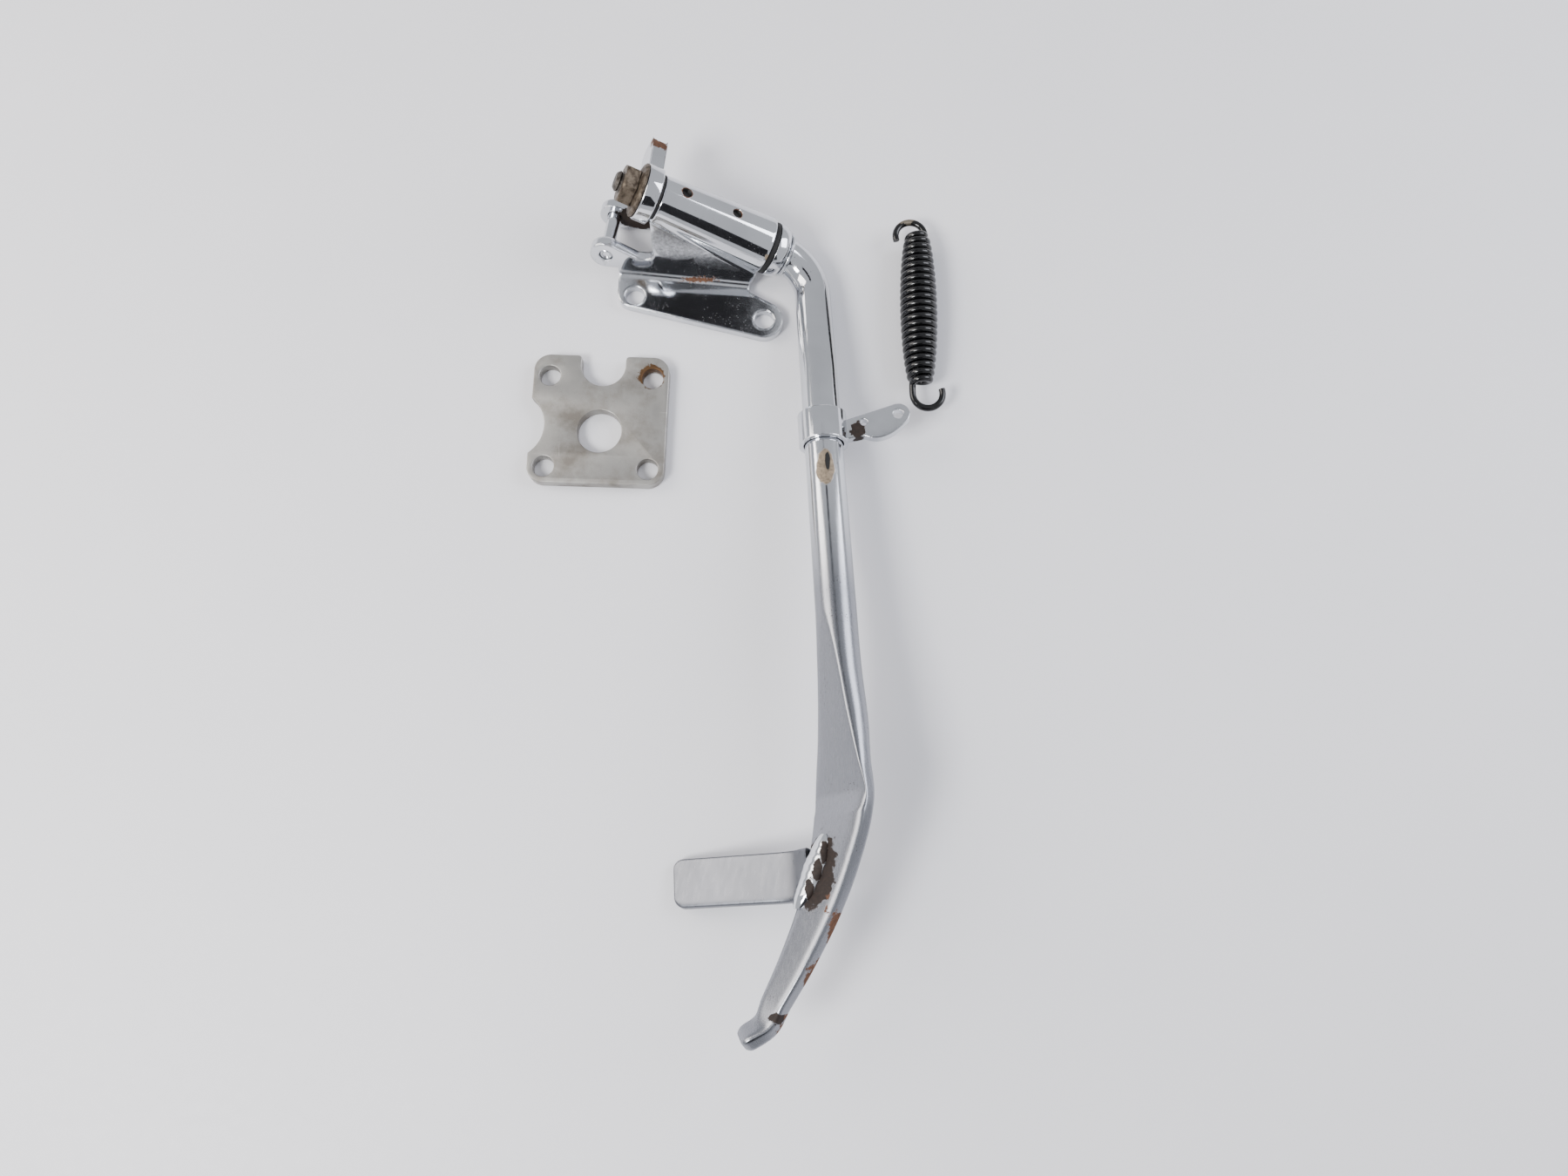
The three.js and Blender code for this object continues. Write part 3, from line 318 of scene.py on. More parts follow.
def mix(tree, factor, first, second):
    """Blends two colours by a factor."""
    node = add(tree, "ShaderNodeMix", {"data_type": "RGBA"}, Factor=factor)
    for index, value in ((6, first), (7, second)):
        if isinstance(value, tuple):
            node.inputs[index].default_value = value
        else:
            tree.links.new(value, node.inputs[index])
    return node.outputs[2]


def blend_value(tree, factor, first, second):
    """Blends two numbers by a factor."""
    node = add(tree, "ShaderNodeMix", {"data_type": "FLOAT"}, Factor=factor)
    for index, value in ((2, first), (3, second)):
        if isinstance(value, float):
            node.inputs[index].default_value = value
        else:
            tree.links.new(value, node.inputs[index])
    return node.outputs[0]


def patch(tree, place, centre, size, ragged=0.35, scale=400):
    """A ragged spot: one inside an ellipsoid of the given half sizes in millimetres, nought outside."""
    centre, size = np.array(centre) * MM, np.array(size) * MM
    vector, number = "ShaderNodeVectorMath", "ShaderNodeMath"
    offset = add(tree, vector, {"operation": "SUBTRACT", 1: tuple(centre)}, i0=place)
    scaled = add(tree, vector, {"operation": "DIVIDE", 1: tuple(size)}, i0=offset.outputs[0])
    length = add(tree, vector, {"operation": "LENGTH"}, i0=scaled.outputs[0])
    edge = noise(tree, place, scale, 6.0, 0.6)
    wobble = add(tree, number, {"operation": "MULTIPLY_ADD", 1: 4 * ragged, 2: -2 * ragged}, i0=edge)
    total = add(tree, number, {"operation": "ADD"}, i0=length.outputs["Value"], i1=wobble.outputs[0])
    return ramp(tree, total.outputs[0], 1.06, 0.94)


def widest(tree, *masks):
    """The largest of several masks."""
    whole = masks[0]
    for mask in masks[1:]:
        whole = add(tree, "ShaderNodeMath", {"operation": "MAXIMUM"}, i0=whole, i1=mask).outputs[0]
    return whole


# %% [markdown]
# Worn chrome could be one bright metal, but it differs from place to place. So its roughness follows
# a slow noise, as wiping leaves it, or a drawn-out one, as polishing does. Plate over buffed steel is
# typically metallic 1 and roughness 0.04 to 0.12, and more where boots rub it. Rust and peeled steel
# are rough, 0.7, and only 0.3 metallic. The pits are about a millimetre apart, coarser than real
# ones, so that they show.

# %% Chrome, bright or dull, with its wear
# Each finish over or under the plate is its colour, its roughness and its metallic value. BLACK,
# TAN and PEELED are also used in places as painted reflection and painted shade.
RUST, PEELED, BLACK = ("6A4630", 0.7, 0.3), ("2A1E18", 0.7, 0.3), ("070606", 0.6, 0.0)
TAN, PITTED = ("9A8A76", 0.5, 0.5), ("B9BBBE", 0.2, 1.0)


def covered(tree, place, state, finish, spots):
    """Puts patches of another finish over a surface's colour, roughness and metallic values."""
    tone, roughness, metallic = finish
    mask = widest(tree, *[patch(tree, place, *spot) for spot in spots])
    soil = ramp(tree, noise(tree, place, 700, 6.0, 0.7), 0.35, 0.65)
    dark = tuple(0.45 * channel for channel in linear(tone)[:3]) + (1.0,)
    colour = mix(tree, mask, state[0], mix(tree, soil, linear(tone), dark))
    return colour, blend_value(tree, mask, state[1], roughness), blend_value(tree, mask, state[2], metallic)


def chrome(name, tone="D6D8DC", gloss=0.04, haze=0.08, pits=0.0, brush=None, satin=None, marked=()):
    """Chrome plate. Gloss is the least roughness, haze what wiping adds, pits the share of rust
    specks, brush the direction of polishing lines, satin where and by how much it turns dull along
    its length. The last argument is a list of other finishes with their patches: wear, and in places
    painted reflection and painted shade."""
    material, tree, shader = blank(name, Metallic=1.0)
    place = add(tree, "ShaderNodeTexCoord").outputs["Object"]
    smear = noise(tree, place, 60, 5.0, 0.6)
    height, strength = noise(tree, place, 900, 3.0), 0.02
    if brush:
        smear = noise(tree, place, 900, 4.0, 0.7, brush)
        height, strength = smear, 0.05
    roughness = ramp(tree, smear, 0.35, 0.75, gloss, gloss + haze)
    if satin:
        start, end, extra = satin
        split = add(tree, "ShaderNodeSeparateXYZ", Vector=place)
        share = ramp(tree, split.outputs["Y"], start * MM, end * MM, 0.0, extra)
        total = add(tree, "ShaderNodeMath", {"operation": "ADD"}, i0=roughness, i1=share)
        roughness = total.outputs[0]
    light = linear(tone)
    dark = tuple(0.86 * channel for channel in light[:3]) + (1.0,)
    colour = mix(tree, ramp(tree, noise(tree, place, 25, 3.0), 0.4, 0.65), light, dark)
    if satin:
        dull = ramp(tree, split.outputs["Y"], start * MM, end * MM)
        colour = mix(tree, dull, colour, linear("8C8E94"))
    metallic = 1.0
    if pits:
        specks = add(tree, "ShaderNodeTexVoronoi", {"Scale": 900.0}, Vector=place).outputs["Distance"]
        where = ramp(tree, noise(tree, place, 120, 4.0), 0.62 - pits, 0.72 - pits)
        dots = ramp(tree, specks, 0.22, 0.14)
        speck = add(tree, "ShaderNodeMath", {"operation": "MULTIPLY"}, i0=dots, i1=where)
        colour = mix(tree, speck.outputs[0], colour, linear("2B2320"))
        roughness = blend_value(tree, speck.outputs[0], roughness, 0.7)
    for finish, spots in marked:
        colour, roughness, metallic = covered(tree, place, (colour, roughness, metallic), finish, spots)
    bump = add(tree, "ShaderNodeBump", {"Strength": strength, "Distance": 0.0002}, Height=height)
    tree.links.new(colour, shader.inputs["Base Color"])
    tree.links.new(roughness, shader.inputs["Roughness"])
    tree.links.new(bump.outputs["Normal"], shader.inputs["Normal"])
    if marked:
        tree.links.new(metallic, shader.inputs["Metallic"])
    return material


# %% [markdown]
# The nut, washer and stud are plated steel under road grime, the bushes oily bronze, and the seals
# black rubber. All are dull: roughness 0.35 to 0.85, metallic 0.6 to 0.9 for the metals and 0 for
# rubber. They could have a function each, but they differ in numbers only, so one makes them all.

# %% Grimy metal and rubber
def grimy(name, clean, dirt, metallic, low, high):
    """A dull surface under grime: colour and roughness follow one noise, a finer one its bumps."""
    material, tree, shader = blank(name, Metallic=metallic)
    place = add(tree, "ShaderNodeTexCoord").outputs["Object"]
    soil = noise(tree, place, 350, 6.0, 0.65)
    colour = mix(tree, ramp(tree, soil, 0.4, 0.62), linear(clean), linear(dirt))
    bump = add(tree, "ShaderNodeBump", {"Strength": 0.4, "Distance": 0.0002},
               Height=noise(tree, place, 1600))
    tree.links.new(colour, shader.inputs["Base Color"])
    tree.links.new(ramp(tree, soil, 0.3, 0.7, low, high), shader.inputs["Roughness"])
    tree.links.new(bump.outputs["Normal"], shader.inputs["Normal"])
    return material


def on(matrix, *point):
    """A point of one of the drawing's frames, in the whole object's millimetres."""
    return tuple((matrix @ np.array([*point, 1.0]))[:3])


# %% [markdown]
# The pivot barrel grows out of the web's top edge: the sheet is wrapped round and welded, so its
# skin runs into the web's front face without a seam. Its surface is drawn in polar form about the
# pivot axis. The radius is a cone's. In front, below the axis, it is the web's flat face, which is
# at distance / cos(angle), with the cone's swell dying away. Two grease holes are sunk in its top.
# A bent sheet and a tube could be joined by a boolean, but that leaves a hard line where the real
# skin flows. Each patch is a centre and half sizes in millimetres, then how ragged its edge is. The
# black discs in the grease holes are painted shade.

# %% Barrel and its run into the web
HALF = 28.5
LEFT_RADIUS, RIGHT_RADIUS, BORE = 11.5, 14.2, 9.5
GREASE_HOLES, GREASE_RADIUS, GREASE_DEPTH = (-18.0, 7.7), 2.3, 2.0
LIP = 0.7  # radius of the rounded rims
WEB_BACK = 11.0  # from the axis to the skin's rear edge
SKIRT_LEFT, SKIRT_MORE = 3.5, 7.5  # reach down the web at the left, and how much more at the right


def barrel():
    """Rows along x, each a loop of angles from the web's face over the top to the web's back:
    r = cone(x), or face / cos(angle) + swell below the axis, less a pit at each grease hole.
    The bore is the same loop at a constant radius, and the two are joined at the ends."""
    fine = [np.linspace(hole - 3.2, hole + 3.2, 33) for hole in GREASE_HOLES]
    ends = np.array([0, 0.1, 0.3, 0.7])
    x = np.unique(np.concatenate([ends - HALF, HALF - ends, np.linspace(-27, 27, 37), *fine]))
    skirt = SKIRT_LEFT + SKIRT_MORE * (x + HALF) / (2 * HALF)
    face = LEFT_RADIUS + 0.03
    first, last = -np.arctan2(skirt, face), 2 * np.pi - np.arctan2(skirt, WEB_BACK)
    t = np.linspace(0, 1, 49) ** 0.8
    low = first[:, None] * (1 - t)
    over = np.linspace(0, 1.1, 20), np.linspace(1.1, 2.0, 46), np.linspace(2, 5.1, 70)
    high = np.concatenate([part[1:] for part in over])
    high = np.minimum(high[None], last[:, None] - 1e-4)
    angle = np.concatenate([low, high, last[:, None]], 1)
    cone = LEFT_RADIUS + (RIGHT_RADIUS - LEFT_RADIUS) * (x + HALF) / (2 * HALF)
    inside = np.minimum(HALF - np.abs(x), LIP)
    lip = LIP - np.sqrt(LIP**2 - (LIP - inside) ** 2)
    radius = np.repeat((cone - lip)[:, None], angle.shape[1], 1)
    flat = face / np.cos(np.clip(angle, -1.4, 0))
    share = np.clip(angle / first[:, None], 0, 1)
    swell = (radius - face) * (1 - share) ** 2 * (1 + 2 * share)
    radius = np.where(angle < 0, flat + swell, radius)
    for hole in GREASE_HOLES:
        reach = np.hypot(x[:, None] - hole, (angle - np.pi / 2 + 0.04) * cone[:, None])
        radius -= GREASE_DEPTH * np.clip((GREASE_RADIUS + 0.15 - reach) / 0.3, 0, 1)
    radius[:, -1] = np.hypot(skirt, WEB_BACK)
    spin = np.stack([np.sin(angle), np.cos(angle)], -1)
    along = np.repeat(x[:, None, None], angle.shape[1], 1)
    outside = np.concatenate([along, spin * radius[..., None]], -1)
    bore = np.concatenate([along, spin * BORE], -1)
    return looped(np.concatenate([outside, bore[::-1]]))


barrel_chrome = chrome(
    "Barrel chrome, worn",
    pits=0.06,
    marked=[
        (RUST, [(on(PIVOT, spot, 11.8, 0.5), (2.9, 2.9, 2.9), 0.2) for spot in GREASE_HOLES]),
        # The black discs in the grease holes are painted shade in the recesses.
        (BLACK, [(on(PIVOT, spot, 11.4, 0.5), (2.55, 2.55, 2.55), 0.02) for spot in GREASE_HOLES]),
        (TAN, [(on(PIVOT, 28.2, 6, 12.6), (1.2, 3.5, 1.6), 0.5, 900)]),
    ],
)
make("barrel_and_fillet", moved(barrel(), PIVOT), "bracket", ["pivot_barrel"],
     barrel_chrome, 50)

# %% [markdown]
# The leg is one bar: turned down for the shaft in the barrel, bent, then forged flat and drawn out
# to a hooked toe. Its surface is a row of rings. Each ring is a superellipse, |x|^n + |y|^n = 1,
# scaled to the section's width and thickness, and the sections are joined by Hermite curves. It
# could be a cube shaped by subdivision, but rings keep the shaft truly round.

# %% Leg
LEG_BEND, BEND_RADIUS, LEG_CORNER = math.radians(78.6), 22.0, 54.0
BAR, SWOLLEN, SHAFT = 17.5, 18.6, 15.0
BLADE_START, KNEE = 176.0, 262.0
SHAFT_LEFT, SHAFT_RIGHT, CHAMFER = -37.3, 30.0, 0.5
SWELL_START = 20.0  # where the bar begins to thicken
TOE_ROUND = 3  # length of the toe's rounding
PRESS_START = 165  # where the forged plane begins
leg_line = np.array([math.cos(LEG_BEND), 0, math.sin(LEG_BEND)])
BLADE = np.array([
    # along, across, above, width, thickness, turn, squareness
    [136, LEG_CORNER + 136 / math.tan(LEG_BEND), 0, SWOLLEN, SWOLLEN, 80, 2],
    [176, LEG_CORNER + 176 / math.tan(LEG_BEND), 0, SWOLLEN, SWOLLEN, 80, 2],
    [205, 95.6, -1.2, 21, 18.2, 80, 2.1],
    [227, 101, -3.2, 26, 17, 80, 2.3],
    [246, 104.2, -4.4, 29.5, 12.5, 78, 3],
    [262, 106.6, -4.8, 31.5, 8.6, 76, 5],
    [284, 107, -8.7, 25.4, 8, 72, 6],
    [306, 105, -14, 19.6, 7.6, 67, 6],
    [327, 101.2, -21.2, 15.6, 7.2, 66, 6],
    [344, 97.4, -28.5, 12.4, 6.8, 64, 6],
    [353, 95.4, -32.2, 11, 7.2, 62, 5],
    [360, 88.6, -38, 10.5, 7.6, 60, 5],
])
TOE = BLADE[-1, 0]


def sections_at(along):
    """Every measure of the blade at each place along it, by a cubic Hermite curve whose slope at a
    section is that of the chord between its neighbours."""
    place = BLADE[:, 0]
    i = np.clip(np.searchsorted(place, along) - 1, 0, len(place) - 2)
    before, after = np.maximum(i - 1, 0), np.minimum(i + 2, len(place) - 1)
    span = (place[i + 1] - place[i])[:, None]
    t = (along[:, None] - place[i][:, None]) / span
    start = (BLADE[i + 1] - BLADE[before]) / (place[i + 1] - place[before])[:, None] * span
    end = (BLADE[after] - BLADE[i]) / (place[after] - place[i])[:, None] * span
    value = BLADE[i] * (2 * t**3 - 3 * t**2 + 1) + start * (t**3 - 2 * t**2 + t)
    value += BLADE[i + 1] * (3 * t**2 - 2 * t**3) + end * (t**3 - t**2)
    value[:, 0] = along
    return value


def superellipses(centre, direction, width, thickness, turn, square, sides=112):
    """Rings across the directions: x = w/2 cos^(2/n), y = t/2 sin^(2/n), each with its own sign."""
    turn = np.radians(turn)
    wide = np.stack([np.cos(turn), np.sin(turn), np.zeros_like(turn)], -1)
    wide -= direction * (wide * direction).sum(-1, keepdims=True)
    wide /= np.linalg.norm(wide, axis=-1, keepdims=True)
    deep = np.cross(direction, wide)
    angle = np.linspace(0, 2 * np.pi, sides, endpoint=False)
    power = (2 / square)[:, None]
    x = np.sign(np.cos(angle)) * np.abs(np.cos(angle)) ** power * width[:, None] / 2
    y = np.sign(np.sin(angle)) * np.abs(np.sin(angle)) ** power * thickness[:, None] / 2
    return centre[:, None] + wide[:, None] * x[..., None] + deep[:, None] * y[..., None]


def round_rings(centre, direction, diameter):
    """Circles of the given diameters across the directions."""
    diameter = np.broadcast_to(np.asarray(diameter, float), len(centre))
    square, turn = np.full(len(centre), 2.0), np.full(len(centre), 90.0)
    return superellipses(centre, direction, diameter, diameter, turn, square)


def leg():
    """Shaft, bar, bend and blade as one row of rings. On the blade's left side every point beyond
    the forged plane is pressed back to it, and the last rings shrink to round the toe."""
    x = np.array([SHAFT_LEFT, SHAFT_LEFT + CHAMFER, SHAFT_RIGHT, SHAFT_RIGHT + CHAMFER])
    shaft = np.column_stack([x, 0 * x, 0 * x])
    axis = np.repeat([[1.0, 0, 0]], len(x), 0)
    rings = [round_rings(shaft, axis, [SHAFT - 1, SHAFT, SHAFT, BAR])]
    turn = np.linspace(0, LEG_BEND, 60)
    start = LEG_CORNER - BEND_RADIUS * math.tan(LEG_BEND / 2)
    centre = np.stack([start + BEND_RADIUS * np.sin(turn), 0 * turn, BEND_RADIUS * (1 - np.cos(turn))], -1)
    way = np.stack([np.cos(turn), 0 * turn, np.sin(turn)], -1)
    rings.append(round_rings(centre, way, BAR))
    along = np.concatenate([np.linspace(60, 170, 12), np.linspace(BLADE_START, TOE - TOE_ROUND, 180),
                            TOE - TOE_ROUND * (1 - np.linspace(0, 1, 10)[1:]) ** 1.5])
    at = sections_at(np.maximum(along, BLADE[0, 0]))
    straight = along < BLADE_START
    at[straight, 0] = along[straight]
    at[straight, 1] = LEG_CORNER + along[straight] / math.tan(LEG_BEND)
    at[straight, 2] = 0
    at[straight, 3] = BAR + (SWOLLEN - BAR) * (along[straight] - SWELL_START) / (BLADE_START - SWELL_START)
    at[straight, 4], at[straight, 6] = at[straight, 3], 2
    centre = at[:, [1, 2, 0]]
    way = np.gradient(centre, along, axis=0)
    way /= np.linalg.norm(way, axis=1, keepdims=True)
    close = np.clip((along - (TOE - TOE_ROUND)) / TOE_ROUND, 0, 1)
    shrink = 1 - 0.35 * close**3
    blade = superellipses(centre, way, at[:, 3] * shrink, at[:, 4] * shrink, at[:, 5], at[:, 6])
    flat_point, flat_normal = np.array([82.3, 4.6, 182]), unit([-0.924, 0.256, 0.285])
    proud = (blade - flat_point) @ flat_normal
    press = 0.5 * (proud + np.sqrt(proud**2 + 0.3**2))
    press *= np.clip((KNEE + 5 - blade[..., 2]) / 8, 0, 1)
    press *= np.clip((blade[..., 2] - PRESS_START) / 15, 0, 1)
    blade -= press[..., None] * flat_normal
    rings.append(blade)
    return skin(np.concatenate(rings))


def blade_face(along):
    """Middle of the blade's left face, the way across it, the way out of it and its half width."""
    at = sections_at(np.atleast_1d(np.asarray(along, float)))
    turn = np.radians(at[:, 5])
    wide = np.stack([np.cos(turn), np.sin(turn), 0 * turn], -1)
    out = np.stack([-np.sin(turn), np.cos(turn), 0 * turn], -1)
    return at[:, [1, 2, 0]] + out * at[:, 4:5] / 2, wide, out, at[:, 3:4] / 2


# %% [markdown]
# The leg's chrome is bright at the bend and dull on the blade, where boots rub it. Below the collar
# lies a painted reflection, a tan patch with a black wedge beside it. Bare brown steel shows round
# the step's weld, and the toe is rusty. Each could be a decal, but a ragged mask in the material
# needs no picture and follows the surface.

# %% Leg finish
ARM_PLACE = 291.0  # where the step arm meets the blade
weld_spot = on(LEG, *(blade_face(ARM_PLACE)[0][0] - 3 * blade_face(ARM_PLACE)[1][0]))
leg_chrome = chrome(
    "Leg chrome, rubbed", gloss=0.07, haze=0.07, pits=0.05,
    brush=(1.0, 0.06, 1.0), satin=(-95, -150, 0.17),
    marked=[
        # The tan patch and the first black patch below are a painted reflection below the collar.
        (TAN, [((61, -91, 31), (4.2, 9, 6), 0.12, 250)]),
        (BLACK, [((62, -88, 31), (1.2, 5.0, 6), 0.2, 400), (on(LEG, 41, -2, 4), (4, 5, 4), 0.45, 500)]),
        (PEELED, [(weld_spot, (9, 18, 9), 0.35, 220), ((39, -330, 43), (3.4, 2.6, 5), 0.35, 400)]),
        (RUST, [((62, -290, 44), (3.8, 12, 6), 0.4, 300), ((53, -311, 41), (4.8, 12, 6), 0.4, 300),
                ((41, -331, 38), (5, 9, 5), 0.4, 400)]),
    ],
)
make("leg_forging", moved(leg(), LEG), "leg", ["leg_bar"], leg_chrome, 35)

# %% [markdown]
# The rings and washers round the shaft are turned parts, so each is a softened profile spun about
# the pivot axis. A Screw modifier could do the same, but an array keeps the axis exact. The stop's
# tab is a flat piece with rounded edges that shares the ring's width.

# %% Turned parts on the shaft
stop_right, stop_left = -30.1, -37.4
ring_bore, stop_radius = 7.8, 13.5
stop_ring = spun_ring([(stop_left, ring_bore), (stop_left, stop_radius), (stop_right, stop_radius),
                       (stop_right, ring_bore)], 0.9)
tab_outline = rounded([(6.4, 10), (4, 33), (-8.3, 31), (-7.9, 10)][::-1], [0.2, 3, 3, 0.2], 6)
tab_frame = placed([stop_right, 0, 0], [0, 1, 0], [0, 0, -1], [-1, 0, 0])
stop_tab = moved(plate(tab_outline, [], 0.0, 7.3, 0.9), tab_frame)
stop_chrome = chrome("Stop chrome", pits=0.1, marked=[
    (RUST, [(on(PIVOT, -34, 4.5, -29), (5, 3, 4.5), 0.6, 500)]),
])
make("stop_ring_and_tab", moved(both(stop_ring, stop_tab), PIVOT), "leg", ["leg_stop"],
     stop_chrome)

shoulder_left = 31.6
dome = np.linspace(0, np.pi / 2, 14)
dome_x = shoulder_left + 1.3 + 5.4 * np.sin(dome)
dome_r = 9.75 + 3.25 * np.cos(dome)
shoulder_bore, shoulder_radius, shoulder_right = 9.05, 13.0, 38.3
shoulder_profile = [(shoulder_left, shoulder_bore), (shoulder_left, shoulder_radius)]
shoulder_profile += list(zip(dome_x, dome_r)) + [(shoulder_right, shoulder_bore)]
shoulder_chrome = chrome("Shoulder chrome", gloss=0.07, haze=0.2, pits=0.12)
make("shoulder_dome", moved(spun_ring(shoulder_profile, 0.35), LEG), "leg", ["leg_shoulder"],
     shoulder_chrome, 50)

thrust_left, thrust_right = 28.8, 31.3
thrust = spun_ring([(thrust_left, ring_bore), (thrust_left, 12.6), (thrust_right, 12.9),
                    (thrust_right, ring_bore)], 0.5)
# The washer's near-black is partly its rubber and partly painted shade in the gap between barrel and
# shoulder.
make("thrust_ring", moved(thrust, LEG), "leg", ["thrust_washer"],
     grimy("Black rubber", "040404", "0C0B0B", 0.0, 0.55, 0.8), 50)
print("turned parts between", stop_left, "and", stop_right)

# %% [markdown]
# The step arm is a flat bar, bent near its root and sheared by its slope, with its tip's corners
# ground round. Rings of a rounded rectangle follow its middle line. The weld that holds it is a long
# bead, drawn as half ellipses that swell and waver as a welder's hand does. Metaballs could make
# the bead, but rings keep its edge on the blade. The arm's chrome is satin, roughness 0.26 to 0.40.

# %% Step arm and weld
ARM_WIDTH, ARM_THICK = 21.0, 3.6


def step_arm():
    """Rings along the middle line from tip to root. Each ring is a superellipse of high power, so
    its edges are softly rounded, and the first rings are narrower by a circle's arc."""
    middle, wide, out, half_width = (value[0] for value in blade_face(ARM_PLACE))
    root = middle - wide * (half_width - 1.2) - out * (ARM_THICK / 2 + 0.5)
    elbow = root - wide * 10.5
    turn = math.radians(52.1)
    tip = elbow - np.array([math.cos(turn), math.sin(turn), 0]) * 57.5
    line = rounded([tip, elbow, root], 7, 20, closed=False)
    start = tip + (line[1] - tip) * (np.linspace(0, 1, 28)[:, None] ** 2 * 0.2)
    line = np.vstack([start, line[1:]])
    step = np.linalg.norm(np.diff(line, axis=0), axis=1)
    run = np.concatenate([[0], np.cumsum(step)])
    way = np.gradient(line, run, axis=0)
    across = np.stack([-way[:, 1], way[:, 0], 0 * run], -1)
    across /= np.linalg.norm(across, axis=1, keepdims=True)
    corner = np.clip(5 - run, 0, 5)
    half_tall = ARM_WIDTH / 2 - (5 - np.sqrt(25 - corner**2))
    half_deep = ARM_THICK / 2 * np.sqrt(1 - (np.clip(0.9 - run, 0, 0.9) / 0.9) ** 2 * 0.8)
    angle = np.linspace(0, 2 * np.pi, 72, endpoint=False)
    squared = np.sign(np.cos(angle)) * np.abs(np.cos(angle)) ** (2 / 14)
    deep = np.sign(np.sin(angle)) * np.abs(np.sin(angle)) ** (2 / 5)
    ring = line[:, None] + across[:, None] * (half_deep[:, None] * deep)[..., None]
    z = half_tall[:, None] * squared
    ring[..., 0] += z * leg_line[0] / leg_line[2]
    slant = -5.5 / (root[1] - tip[1])
    ring[..., 2] = ARM_PLACE + z + slant * (ring[..., 1] - root[1])
    return skin(ring)


def weld(rows=70, sides=20):
    """A long bead on the blade's face: half ellipses whose size swells and wavers along it."""
    t = np.linspace(0, 1, rows)
    waver = 1 + 0.04 * np.cos(15 * t) + 0.015 * np.cos(60 * t)
    swell = np.sqrt(np.sin(np.pi * (0.03 + 0.94 * t))) * waver
    middle, wide, out, half_width = blade_face(ARM_PLACE + (t - 0.5) * 31)
    centre = middle + wide * ((8.7 - 7.5 * t)[:, None] - half_width)
    angle = np.linspace(0, 2 * np.pi, sides, endpoint=False)
    x, y = 6.2 * np.cos(angle), 3.2 * np.maximum(np.sin(angle), -0.15)
    scaled = swell[:, None, None]
    return skin(centre[:, None] + wide[:, None] * x[:, None] * scaled + out[:, None] * y[:, None] * scaled)


step_chrome = chrome("Step arm chrome, satin", "74767C", gloss=0.26, haze=0.14, brush=(0.3, 0.1, 1.0), marked=[
    (PEELED, [(weld_spot, (7, 13, 8), 0.4, 300)]),
])
make("step_bar", moved(step_arm(), LEG), "leg", ["step_arm"], step_chrome, 35)
bead_side = [blade_face(at) for at in (283, 291, 299)]
bead_spots = [
    (on(LEG, *(middle[0] + wide[0] * (border - half_width[0]) + out[0] * 2)), (2.0, 5.5, 3.5), 0.45, 350)
    for (middle, wide, out, half_width), border in zip(bead_side, (12, 9.5, 7))
]
step_weld_chrome = chrome("Weld chrome", gloss=0.06, haze=0.12, marked=[(PEELED, bead_spots)])
make("step_bead", moved(weld(), LEG), "leg", ["step_weld"], step_weld_chrome, 60)

# %% [markdown]
# The return spring is wound from round wire and dipped in gloss black. The wire is a tube along a
# helix whose radius swells to the middle, with an open hook at each end. Its rings are turned to
# stay square to the path and must not twist, so each one's frame is carried on from the last. A
# curve with a bevel would also do, but its twist is harder to hold. Gloss paint isn't metallic, and
# its roughness is 0.1 to 0.3 under dust.

# %% Return spring
COILS, PITCH, WIRE = 22.5, 3.45, 3.3


def spring_path():
    """Near hook, coils and far hook: r(s) = end + (middle - end) sin(pi s)^0.55, and the hooks are
    circles of 7.3 mm that start along the spring's axis. The corners between are averaged away."""
    end, middle, hook, turn = 3.95, 7.65, 7.3, math.radians(200)
    pieces = []
    for sign, base, lead in ((1, 0.0, 0.3), (-1, -COILS * PITCH, 5.6)):
        run = np.linspace(0, turn, 40)
        x = sign * (end - hook * (1 - np.cos(run)))
        bend = np.column_stack([x, base + sign * (lead + hook * np.sin(run)), 0 * run])
        straight = np.linspace([sign * end, base, 0], bend[0], 6)[:-1]
        pieces.append(np.vstack([straight, bend]))
    s = np.linspace(0, 1, 900)
    radius = end + (middle - end) * np.sin(np.pi * s) ** 0.55
    angle = 2 * np.pi * COILS * s
    coil = np.column_stack([radius * np.cos(angle), -s * COILS * PITCH, radius * np.sin(angle)])
    path = np.vstack([pieces[0][::-1], coil[1:-1], pieces[1]])
    run = np.concatenate([[0], np.cumsum(np.linalg.norm(np.diff(path, axis=0), axis=1))])
    even = np.linspace(0, run[-1], 1250)
    path = np.column_stack([np.interp(even, run, path[:, k]) for k in range(3)])
    for _ in range(4):
        path[1:-1] = (path[:-2] + 2 * path[1:-1] + path[2:]) / 4
    return path


def tube(path, radius, sides=14):
    """Rings of a tube; each frame is the last one turned by the path's own turning."""
    way = np.gradient(path, axis=0)
    way /= np.linalg.norm(way, axis=1, keepdims=True)
    side = np.zeros_like(way)
    side[0] = unit(np.cross(way[0], [0, 0, 1]))
    for i in range(1, len(way)):
        side[i] = unit(side[i - 1] - way[i] * (side[i - 1] @ way[i]))
    other = np.cross(way, side)
    angle = np.linspace(0, 2 * np.pi, sides, endpoint=False)
    circle = side[:, None] * np.cos(angle)[:, None] + other[:, None] * np.sin(angle)[:, None]
    return skin(path[:, None] + circle * radius)


